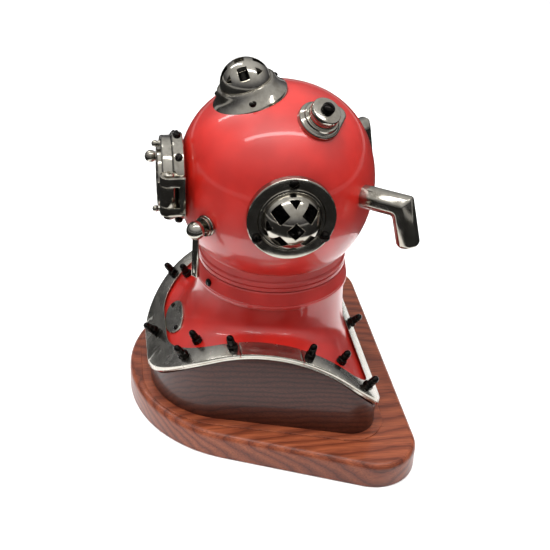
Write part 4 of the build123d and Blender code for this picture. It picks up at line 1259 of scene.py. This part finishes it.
@dataclass
class GuardedLight(Assembly):
    """One window: cast frame, domed lattice guard, glass, gasket and screws."""

    fasteners: Fasteners | None = None
    side: str = "left"
    seat: Seat = Seat((0.0, 0.0, 0.0))
    face: float = 53.2
    guard_r: float = 16.0
    guard_h: float = 13.0
    flank: tuple[tuple[float, float], ...] = ()
    turn: float = 45.0
    screw_r: float = 20.6
    screw_angles: tuple[float, ...] = (90.0, 210.0, 330.0)
    screw_sink: float = 0.0
    screw: tuple[float, float, float, float] = (2.7, 2.2, 1.2, 4.5)
    step: float = 1.6
    shell_t: float = 2.0
    bar_w: float = 4.2
    pitch: float = 0.69
    lobe: float = 0.0

    def build(self) -> None:
        """Build every piece of this light."""
        self.keep(self.frame_ring(), [f"{self.side}_light_frame"], Body.HELMET, "nickel")
        self.keep(self.guard(), [f"{self.side}_light_guard"], Body.HELMET, "nickel")
        self.paint(f"{self.side}_light_glass", "glass")
        self.paint(f"{self.side}_light_gasket", "rubber")
        seats = self.screw_seats()
        screws = self.bench.copies(
            f"{self.side}_light_pan_screws", self.fasteners.pan_head(*self.screw), seats
        )
        self.keep(screws, [f"{self.side}_light_screws"], Body.HELMET, "black")

    def screw_seats(self) -> list[Seat]:
        """Seats of the screws, each slot turned its own way."""
        seats = []
        for number, angle in enumerate(self.screw_angles):
            a = math.radians(angle)
            spot = self.seat.at(
                self.screw_r * math.cos(a), self.screw_r * math.sin(a), self.face + self.screw_sink
            )
            slot = math.radians(35.0 + 70.0 * number)
            base = self.seat.matrix().to_3x3()
            across = base @ Vector((math.cos(slot), math.sin(slot), 0.0))
            seats.append(Seat(spot, self.seat.axis, tuple(across)))
        return seats

    def frame_ring(self) -> bpy.types.Object:
        """Turned frame: its flank stands on the dome and its sleeve holds the glass."""
        ring = self.guard_r + self.step
        sleeve = ring + 1.3
        foot = self.face - 6.5
        flank = [(radius, self.face + drop) for radius, drop in self.flank]
        root = [(ring - 2.5, foot), (sleeve, foot)]
        outline = root + self.root_line(flank[0]) + flank
        outline += [
            (ring + 0.35, self.face), (ring + 0.05, self.face - 0.3), (ring + 0.05, self.face - 4.0),
            (ring - 2.5, self.face - 4.5)
        ]
        piece = self.bench.lathe(f"{self.side}_light_casting", outline, 160, looped=True)
        if self.lobe:
            piece = self.lobed(piece, flank[0][0])
        return self.bench.smooth(self.bench.put(piece, self.seat), 30)

    def root_line(self, rim: tuple[float, float]) -> Outline:
        """Corners that lead under the rim, just inside the dome's skin."""
        radius, height = rim
        skin = math.sqrt(max(55.0**2 - radius**2, 0.0)) - 1.2
        return [(self.guard_r + self.step + 1.3, skin), (radius, min(skin, height - 0.3))]

    def lobed(self, piece: bpy.types.Object, rim: float) -> bpy.types.Object:
        """Swell the rim gently at each screw."""
        for vertex in piece.data.vertices:
            reach = math.hypot(vertex.co.x, vertex.co.y) / MM
            share = max(0.0, min(1.0, (reach - 0.82 * rim) / (0.18 * rim)))
            angle = math.degrees(math.atan2(vertex.co.y, vertex.co.x))
            near = min(abs((angle - spot + 180) % 360 - 180) for spot in self.screw_angles)
            swell = 1 + self.lobe * share * math.exp(-((near / 17.0) ** 2))
            vertex.co.x *= swell
            vertex.co.y *= swell
        return piece

    def guard(self) -> bpy.types.Object:
        """Domed shell with nine windows cut through it; the edges are rounded."""
        ball = (self.guard_r**2 + self.guard_h**2) / (2 * self.guard_h)
        centre = self.face + self.guard_h - ball
        inner = ball - self.shell_t
        low = math.degrees(math.asin((self.face - centre) / ball))
        inner_low = math.degrees(math.asin((self.face - centre) / inner))
        foot = inner * math.cos(math.radians(inner_low))
        outer_arc = arc(ball, low, 89.9, 26, (0.0, centre))
        inner_arc = arc(inner, 89.9, inner_low, 22, (0.0, centre))
        ring = self.guard_r + self.step
        base = [
            (foot, self.face - 2.0), (ring, self.face - 2.0), (ring, self.face - 0.4), (ring - 0.4, self.face)
        ]
        shell = self.bench.lathe(f"{self.side}_guard_lattice", base + outer_arc + inner_arc, 128, looped=True)
        cell = self.pitch * self.guard_r - self.bar_w
        boxes = []
        for column in (-1, 0, 1):
            for row in (-1, 0, 1):
                wide = 2 * self.guard_r if column else cell
                deep = 2 * self.guard_r if row else cell
                gap = (cell + self.bar_w) / 2 + self.bar_w / 2
                x = column * (gap + wide / 2) if column else 0.0
                y = row * (gap + deep / 2) if row else 0.0
                bpy.ops.object.select_all(action="DESELECT")
                bpy.ops.mesh.primitive_cube_add(size=1, location=(x * MM, y * MM, (self.face + 15.2) * MM))
                box = self.bench.fresh("window")
                box.scale = (wide * MM, deep * MM, 30.0 * MM)
                bpy.ops.object.transform_apply(location=True, rotation=True, scale=True)
                boxes.append(box)
        windows = self.bench.join("windows", boxes)
        round_edge = self.bench.lathe(
            "window_edge", [(0.885 * self.guard_r, self.face + 1.2), (0.885 * self.guard_r, self.face + 29)],
            128
        )
        self.bench.cut(windows, round_edge, Cut.COMMON)
        self.bench.bevel(windows, 0.7, 3, 35)
        windows.matrix_world = Matrix.Rotation(math.radians(self.turn), 4, "Z")
        self.bench.take(windows)
        bpy.ops.object.transform_apply(location=True, rotation=True, scale=True)
        self.bench.cut(shell, windows)
        self.bench.bevel(shell, 0.45, 3, 38)
        return self.bench.smooth(self.bench.put(shell, self.seat), 30)


@dataclass
class FaceLight(Assembly):
    """Face light: flange with radial screws, hinged door with its grille, hinge and clamp."""

    fasteners: Fasteners | None = None
    seat: Seat = Seat((0.0, 0.0, 0.0))
    radius: float = 24.1
    front: float = 58.1
    screw_angles: tuple[float, ...] = (50.0, 90.0, 130.0, 230.0, 270.0, 310.0)
    acorn_at: float = 19.7

    def build(self) -> None:
        """Build every piece of the face light."""
        bench = self.bench
        self.keep(
            bench.refined("face_flange_cast", "face_flange", 0.45), ["face_flange"], Body.HELMET, "nickel"
        )
        seats = []
        for number, angle in enumerate(self.screw_angles):
            a = math.radians(angle)
            out = (math.cos(a), 0.0, math.sin(a))
            spot = (self.radius * out[0], -self.front + 3.1, self.seat.origin[2] + self.radius * out[2])
            slot = 0.5 + 1.3 * number
            along = Vector(out).cross(Vector((0, -1, 0)))
            across = along * math.cos(slot) + Vector((0, -1, 0)) * math.sin(slot)
            seats.append(Seat(spot, out, tuple(across)))
        screws = bench.copies("face_flange_pan_screws", self.fasteners.pan_head(2.1, 1.8, 1.1, 4.5), seats)
        self.keep(screws, ["face_flange_screws"], Body.HELMET, "black")
        for name, node, width in (
            ("hinge_bracket_cast", "hinge_bracket", 0.5), ("clamp_lug_cast", "clamp_lug", 0.5),
        ):
            self.keep(bench.refined(name, node, width), [node], Body.HELMET, "nickel")
        self.keep(bench.refined("door_ring_cast", "door_ring", 0.45), ["door_ring"], Body.DOOR, "nickel")
        self.keep(
            bench.refined("door_grille_plate", "door_grille", 0.3), ["door_grille"], Body.DOOR, "nickel"
        )
        self.paint("door_glass", "glass")
        self.paint("door_gasket", "rubber")
        self.keep(self.acorns(), ["door_acorn_bolts"], Body.DOOR, "nickel")
        self.hinge()
        self.clamp()

    def acorns(self) -> bpy.types.Object:
        """Two small acorn bolts on the door."""
        outline = [
            (1.0, -3.0), (1.0, 0.0), (1.9, 0.0), (1.9, 0.8), (1.5, 1.1)
        ] + arc(1.9, -35, 80, 10, (0.0, 2.7)) + [(0.01, 4.6)]
        acorn = self.bench.smooth(self.bench.lathe("acorn", outline, 40), 35)
        seats = [self.seat.shifted(0.0, side * self.acorn_at, self.front + 5.9) for side in (-1, 1)]
        return self.bench.copies("door_acorns_turned", acorn, seats)

    def hinge(self) -> None:
        """Hinge pin with a slotted head and the nut below it."""
        seat = joint_seat("door_hinge", (1.0, 0.6, 0.0))
        low, high = low_high("hinge_bracket")
        half = (high.z - low.z) / 2
        foot = [(1.2, -half - 3.8), (1.5, -half - 3.4), (1.5, half), (2.8, half), (2.8, half + 0.7)]
        pin = self.bench.lathe("pin", foot + [(2.4, half + 1.2), (1.5, half + 1.6), (0.01, half + 1.65)], 48)
        self.bench.slotted(pin, half + 1.6, (8.0, 0.8, 1.7))
        self.bench.bevel(pin, 0.08, 2, 40)
        pin = self.bench.smooth(self.bench.put(pin, seat))
        pin.name = "hinge_pin_turned"
        self.keep(pin, ["hinge_pin"], Body.HELMET, "nickel")
        nut = self.bench.put(self.fasteners.hex_nut(5.6, 3.0, 1.5), seat.shifted(0.0, 0.0, -half - 3.0))
        nut.name = "hinge_nut_faced"
        self.keep(nut, ["hinge_nut"], Body.HELMET, "nickel")

    def clamp(self) -> None:
        """Ball-headed clamp screw with a collar and a turned stem."""
        seat = joint_seat("clamp_turn")
        low, high = low_high("clamp_screw")
        reach = -low.y + seat.origin[1]
        back = -high.y + seat.origin[1]
        ball = 3.6
        middle = reach - ball
        ear = -3.05
        outline = [
            (1.2, back), (1.5, back + 0.3), (1.5, ear - 0.35), (1.5, ear - 0.3),
            (2.6, ear - 0.3), (2.6, ear + 0.3),
            (2.1, ear + 0.55), (1.5, ear + 0.7), (1.35, ear + 1.2), (1.5, middle - ball * 0.98),
        ]
        outline += arc(ball, -66, 84, 22, (0.0, middle)) + [(0.01, reach)]
        screw = self.bench.lathe("clamp_screw_turned", outline, 64)
        self.keep(self.bench.smooth(self.bench.put(screw, seat), 38), ["clamp_screw"], Body.CLAMP, "nickel")


@dataclass
class Spitcock(Assembly):
    """Small cock on the dome: stepped flange, ball and tapered flat lever."""

    ball: float = 5.0
    lever: float = 28.0
    widths: tuple[float, float] = (2.8, 4.1)
    lever_t: float = 2.4

    def build(self) -> None:
        """Build the body and the handle."""
        seat = joint_seat("spitcock_turn")
        dome_r = low_high("dome")[1].y
        face = 57.6 - (Vector(seat.origin).xy.length)
        root = dome_r - 7.0 - Vector(seat.origin).xy.length
        outline = [
            (3.0, root), (5.9, root + 3.0), (5.9, face - 1.9), (5.6, face - 1.6),
            (4.7, face - 1.45), (4.55, face - 1.2),
            (4.7, face - 0.95), (5.25, face - 0.85), (5.4, face - 0.65), (5.4, face - 0.2),
            (5.2, face), (1.56, face), (1.56, root),
        ]
        body = self.bench.smooth(
            self.bench.put(self.bench.lathe("spitcock_cast", outline, 72, looped=True), seat), 32
        )
        self.keep(body, ["spitcock_body"], Body.HELMET, "nickel")
        self.keep(self.handle(seat, face), ["spitcock_handle"], Body.SPITCOCK, "nickel")

    def handle(self, seat: Seat, face: float) -> bpy.types.Object:
        """Ball on its spindle with a lever that hangs down."""
        outline = [(1.5, face - 4.5), (1.5, face + 0.15), (1.9, face + 0.3)]
        outline += arc(self.ball, -66, 88, 26) + [(0.01, self.ball)]
        ball = self.bench.put(self.bench.smooth(self.bench.lathe("ball", outline, 72), 38), seat)
        bpy.ops.object.select_all(action="DESELECT")
        bpy.ops.mesh.primitive_cube_add(size=1, location=(0, 0, 0))
        lever = self.bench.fresh("lever")
        self.bench.edit(lever)
        top, foot = self.widths
        bpy.ops.transform.resize(value=(self.lever * MM, top * MM, self.lever_t * MM))
        bpy.ops.transform.translate(value=(-self.lever / 2 * MM, 0, 0))
        self.bench.leave()
        for vertex in lever.data.vertices:
            if vertex.co.x < -self.lever / 2 * MM:
                vertex.co.y *= foot / top
        dot = self.bench.lathe("dot", [(0.55, 0.3), (0.55, 3.0)], 24)
        self.bench.cut(lever, self.bench.put(dot, Seat((2.0 - self.lever, 0.0, 0.0))))
        self.bench.bevel(lever, 0.35, 3, 40)
        self.bench.put(self.bench.smooth(lever), seat)
        return self.bench.join("spitcock_ball_lever", [ball, lever])


@dataclass
class ExhaustValve(Assembly):
    """Exhaust valve: teardrop pad, stepped drum and a slotted knob."""

    point: Spot = (-0.54, 0.84, 0.04)
    pad_r: float = 11.5
    pad_top: float = -8.0
    tail: tuple[float, float] = (12.5, 5.0)

    def build(self) -> None:
        """Build the body and the knob."""
        seat = joint_seat("exhaust_turn", self.point)
        pad = self.bench.hull(
            "exhaust_cast", [(0.0, 0.0, self.pad_r), (self.tail[0], 0.0, self.tail[1])], -20.0, self.pad_top
        )
        self.bench.bevel(pad, 1.2, 4, 40)
        self.bench.smooth(pad, 32)
        top = self.pad_top
        outline = [
            (6.0, top - 5.0), (10.6, top - 0.6), (10.5, top + 0.1), (10.1, top + 0.5), (9.6, top + 0.9),
            (9.4, top + 1.9), (9.1, top + 2.2),
            (8.2, top + 2.3), (8.0, top + 2.6), (8.0, top + 4.6), (7.85, top + 4.75),
            (7.85, top + 4.95), (8.0, top + 5.1),
            (8.0, -0.6), (7.75, -0.15), (7.4, 0.0), (1.46, 0.0), (1.46, top - 4.0),
        ]
        drum = self.bench.smooth(self.bench.lathe("drum", outline, 96, looped=True), 30)
        body = self.bench.put(self.bench.join("exhaust_cast", [pad, drum]), seat)
        self.keep(body, ["exhaust_body"], Body.HELMET, "nickel")
        base, high = 0.3, 3.7
        outline = [(1.4, -4.0), (1.4, base), (3.2, base), (3.4, base + 0.25), (3.4, base + 1.5)]
        outline += [(3.2, base + 2.2), (2.7, base + 2.8), (1.8, base + 3.2), (0.9, high - 0.02), (0.01, high)]
        knob = self.bench.lathe("exhaust_knob_turned", outline, 56)
        self.bench.slotted(knob, high, (10.0, 0.9, 1.8))
        self.bench.bevel(knob, 0.1, 2, 40)
        turned = Seat(seat.origin, seat.axis, (0.2, 0.5, -0.7))
        self.keep(self.bench.smooth(self.bench.put(knob, turned)), ["exhaust_knob"], Body.EXHAUST, "black")


@dataclass
class Elbow(Assembly):
    """Mitred eight-sided air pipe with softened corners."""

    side: int = 1
    azimuth: float = 50.0
    rise: float = 3.0
    root: float = 44.0
    reach: float = 77.0
    drop: tuple[float, float] = (6.2, -22.0)
    flats: float = 12.2
    lift: float = 3.2

    def build(self) -> None:
        """Build the pipe from four rows of eight corners."""
        name = "left" if self.side > 0 else "right"
        _, high = low_high("dome")
        centre_z = high.z - CROWN * high.y
        a, e = math.radians(self.azimuth), math.radians(self.rise)
        out = Vector((self.side * math.cos(a), math.sin(a), 0.0))
        heading = (out * math.cos(e) + Vector((0, 0, math.sin(e)))).normalized()
        start = Vector((0, 0, centre_z + self.lift))
        corner = start + heading * self.reach
        fall = (out * self.drop[0] + Vector((0, 0, self.drop[1])))
        down = fall.normalized()
        level = Vector((-out.y, out.x, 0.0))
        rows = []
        tip = self.flats / 2 / math.cos(math.pi / 8)
        spots = (
            (start + heading * self.root, heading, heading, 1.0), (
                corner, heading, (down - heading).normalized(), 1.0
            ),
            (corner + fall - down * 1.6, down, down, 1.0), (corner + fall, down, down, 0.72),
        )
        for spot, along, normal, share in spots:
            row = []
            across = level.cross(along).normalized()
            for step in range(8):
                angle = TURN * (step + 0.5) / 8
                point = spot + (level * math.cos(angle) + across * math.sin(angle)) * tip * share
                if abs(normal.dot(along)) < 0.99:
                    plane = (heading + down).normalized()
                    point += along * ((spot - point).dot(plane) / along.dot(plane))
                row.append(point)
            rows.append(row)
        pipe = self.bench.loops(f"{name}_elbow_pipe", rows)
        self.bench.edit(pipe)
        bpy.ops.mesh.fill_holes(sides=0)
        self.bench.leave()
        self.bench.outwards(pipe)
        self.bench.bevel(pipe, 1.1, 4, 20)
        self.keep(self.bench.smooth(pipe, 30), [f"{name}_elbow"], Body.HELMET, "nickel")


# ---------------------------------------------------------------------------------------------
# Studio
# ---------------------------------------------------------------------------------------------


@dataclass
class Studio:
    """Pale floor, soft boxes and the camera."""

    eye_mm: Spot = (492.3, -88.7, 388.2)
    azimuth: float = 79.48
    elevation: float = 32.04
    roll: float = -3.39
    lens_mm: float = 65.45

    def build(self) -> None:
        """Build the floor, the lights, the sky and the camera."""
        self.floor()
        self.sky()
        self.soft_box("key_overhead", (40, -40, 1000), (0, 0, 100), (900, 800), 13.0)
        self.soft_box("left_front", (150, -620, 420), (0, 0, 120), (380, 420), 2.0)
        self.soft_box("right_back", (250, 620, 420), (0, 0, 120), (380, 420), 1.6)
        self.strip("strip_over", (120, -400, 700), (120, 370, 700), 46, 1.3)
        self.strip("strip_behind", (-560, -640, 700), (-250, -130, 700), 46, 1.3)
        self.surround()
        self.camera()
        bpy.context.scene.view_settings.view_transform = "Standard"

    def floor(self) -> None:
        """White sweep with a faint mottle."""
        bpy.ops.object.select_all(action="DESELECT")
        bpy.ops.mesh.primitive_plane_add(size=12, location=(0, 0, 0))
        floor = bpy.context.active_object
        floor.name = "studio_floor"
        material = bpy.data.materials.new("paper_sweep_white")
        material.use_nodes = True
        tree = material.node_tree
        shader = next(node for node in tree.nodes if node.type == "BSDF_PRINCIPLED")
        place = add_node(tree, "ShaderNodeTexCoord").outputs["Object"]
        cloud = add_node(tree, "ShaderNodeTexNoise", {"Vector": place}, Scale=3.0)
        tree.links.new(
            ramp(tree, cloud.outputs["Fac"], [(0.3, "#f4f4f3"), (0.7, "#f8f8f8")]),
            shader.inputs["Base Color"]
        )
        shader.inputs["Roughness"].default_value = 0.6
        floor.data.materials.append(material)

    def sky(self) -> None:
        """Pale studio walls, darker towards the horizon."""
        world = bpy.data.worlds.new("studio_walls")
        bpy.context.scene.world = world
        world.use_nodes = True
        tree = world.node_tree
        tree.nodes.clear()
        way = add_node(tree, "ShaderNodeTexCoord").outputs["Generated"]
        parts = add_node(tree, "ShaderNodeSeparateXYZ", {0: way})
        tone = ramp(
            tree, parts.outputs["Z"],
            [(0.0, "#444446"), (1.0, "#ffffff"), (0.22, "#86868a"), (0.55, "#d8d8d8")]
        )
        glow = add_node(tree, "ShaderNodeBackground", {"Color": tone}, Strength=1.0)
        add_node(tree, "ShaderNodeOutputWorld", {"Surface": glow.outputs[0]})

    def soft_box(self, name: str, spot: Spot, aim: Spot, size: tuple[float, float], power: float) -> None:
        """Rectangular area light, with its place, aim and size in millimetres and its power in watts."""
        data = bpy.data.lights.new(name, "AREA")
        data.shape = "RECTANGLE"
        data.size, data.size_y = (side * MM for side in size)
        data.energy = power
        light = bpy.data.objects.new(name, data)
        bpy.context.scene.collection.objects.link(light)
        light.location = Vector(spot) * MM
        light.rotation_euler = (Vector(aim) - Vector(spot)).to_track_quat("-Z", "Y").to_euler()
        light.visible_glossy = False

    def strip(self, name: str, start: Spot, end: Spot, width: float, power: float) -> None:
        """Long narrow light between two points in millimetres, facing the helmet, for its streaks."""
        ends = Vector(start), Vector(end)
        spot, along = (ends[0] + ends[1]) / 2, (ends[1] - ends[0]).normalized()
        away = spot - Vector((0, 0, 150))
        away = (away - along * away.dot(along)).normalized()
        data = bpy.data.lights.new(name, "AREA")
        data.shape = "RECTANGLE"
        data.size, data.size_y = (ends[1] - ends[0]).length * MM, width * MM
        data.energy = power
        light = bpy.data.objects.new(name, data)
        bpy.context.scene.collection.objects.link(light)
        turn = Matrix((along, away.cross(along), away)).transposed().to_4x4()
        light.matrix_world = Matrix.Translation(spot * MM) @ turn

    def surround(self) -> None:
        """Dark ring on the floor round the stand that only reflections see, as a black cloth would give."""
        bpy.ops.object.select_all(action="DESELECT")
        bpy.ops.mesh.primitive_circle_add(vertices=96, radius=0.17, location=(0, 0, 0.002))
        ring = bpy.context.active_object
        ring.name = "studio_black_cloth"
        bpy.ops.object.mode_set(mode="EDIT")
        bpy.ops.mesh.select_all(action="SELECT")
        bpy.ops.mesh.extrude_region_move(TRANSFORM_OT_translate={"value": (0, 0, 0)})
        bpy.ops.transform.resize(value=(10, 10, 1), center_override=(0, 0, 0.002))
        bpy.ops.object.mode_set(mode="OBJECT")
        material = bpy.data.materials.new("cotton_cloth_black")
        material.use_nodes = True
        shader = next(node for node in material.node_tree.nodes if node.type == "BSDF_PRINCIPLED")
        shader.inputs["Base Color"].default_value = linear("#101010")
        shader.inputs["Roughness"].default_value = 0.9
        ring.data.materials.append(material)
        ring.visible_camera = ring.visible_diffuse = ring.visible_shadow = ring.visible_transmission = False

    def camera(self) -> None:
        """Camera from the diver's left, above and a little in front."""
        data = bpy.data.cameras.new("camera")
        data.lens = self.lens_mm
        data.sensor_width = 36.0
        data.clip_start, data.clip_end = 0.01, 50.0
        camera = bpy.data.objects.new("camera", data)
        bpy.context.scene.collection.objects.link(camera)
        a, e, r = (math.radians(value) for value in (self.azimuth, self.elevation, self.roll))
        back = Vector((math.sin(a) * math.cos(e), -math.cos(a) * math.cos(e), math.sin(e)))
        level = Vector((0, 0, 1)).cross(back).normalized()
        up = back.cross(level)
        right = level * math.cos(r) - up * math.sin(r)
        top = level * math.sin(r) + up * math.cos(r)
        camera.matrix_world = Matrix.Translation(
            Vector(self.eye_mm) * MM
        ) @ Matrix((right, top, back)).transposed().to_4x4()
        bpy.context.scene.camera = camera


def main() -> None:
    """Build the helmet round its frame, then the studio."""
    logging.basicConfig(level=logging.INFO, format="%(name)s %(message)s")
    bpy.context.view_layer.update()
    bench, finishes = Bench(), Finishes()
    finishes.build()
    fasteners = Fasteners(bench, finishes)
    Stand(bench, finishes).build()
    Breastplate(bench, finishes, fasteners=fasteners).build()
    Neck(bench, finishes).build()

    low, high = low_high("left_light_frame")
    light_z = (low.z + high.z) / 2
    dome_high = low_high("dome")[1]
    dome_z = dome_high.z - CROWN * dome_high.y
    lean = math.radians(18.5)
    left = Seat((0.0, 0.0, light_z), (1.0, 0.0, 0.0), (0.0, 1.0, 0.0))
    right = Seat((0.0, 0.0, light_z), (-1.0, 0.0, 0.0), (0.0, -1.0, 0.0))
    top = Seat((0.0, 0.0, dome_z), (0.0, -math.sin(lean), math.cos(lean)), (1.0, 0.0, 0.0))
    face = Seat((0.0, 0.0, light_z), (0.0, -1.0, 0.0), (1.0, 0.0, 0.0))
    side_flank = ((23.4, -1.2), (23.4, -0.6), (23.1, -0.2), (22.6, 0.0), (19.0, -0.15))
    top_flank = (
        (20.6, -8.6), (20.5, -7.9), (19.8, -7.1), (18.8, -6.0), (17.8, -4.6), (17.0, -3.1),
        (16.3, -1.5), (15.9, -0.5), (15.6, 0.0)
    )
    for name, seat in (("left", left), ("right", right)):
        GuardedLight(
            bench, finishes, fasteners=fasteners, side=name, seat=seat, face=high.x, flank=side_flank
        ).build()
    GuardedLight(
        bench, finishes, fasteners=fasteners, side="top", seat=top, face=60.0,
        guard_r=13.8, guard_h=13.0, flank=top_flank,
        turn=0.0, screw_r=18.1, screw_angles=(0.0, 120.0, 240.0), screw_sink=-5.5,
        screw=(2.0, 1.6, 0.9, 3.5), lobe=0.02,
    ).build()
    Dome(bench, finishes).build([(left, 18.9), (right, 18.9), (top, 16.7), (face, 17.3)])
    FaceLight(bench, finishes, fasteners=fasteners, seat=face).build()
    Spitcock(bench, finishes).build()
    ExhaustValve(bench, finishes).build()
    for side in (1, -1):
        Elbow(bench, finishes, side=side).build()
    Studio().build()


if __name__ == "__main__":
    main()
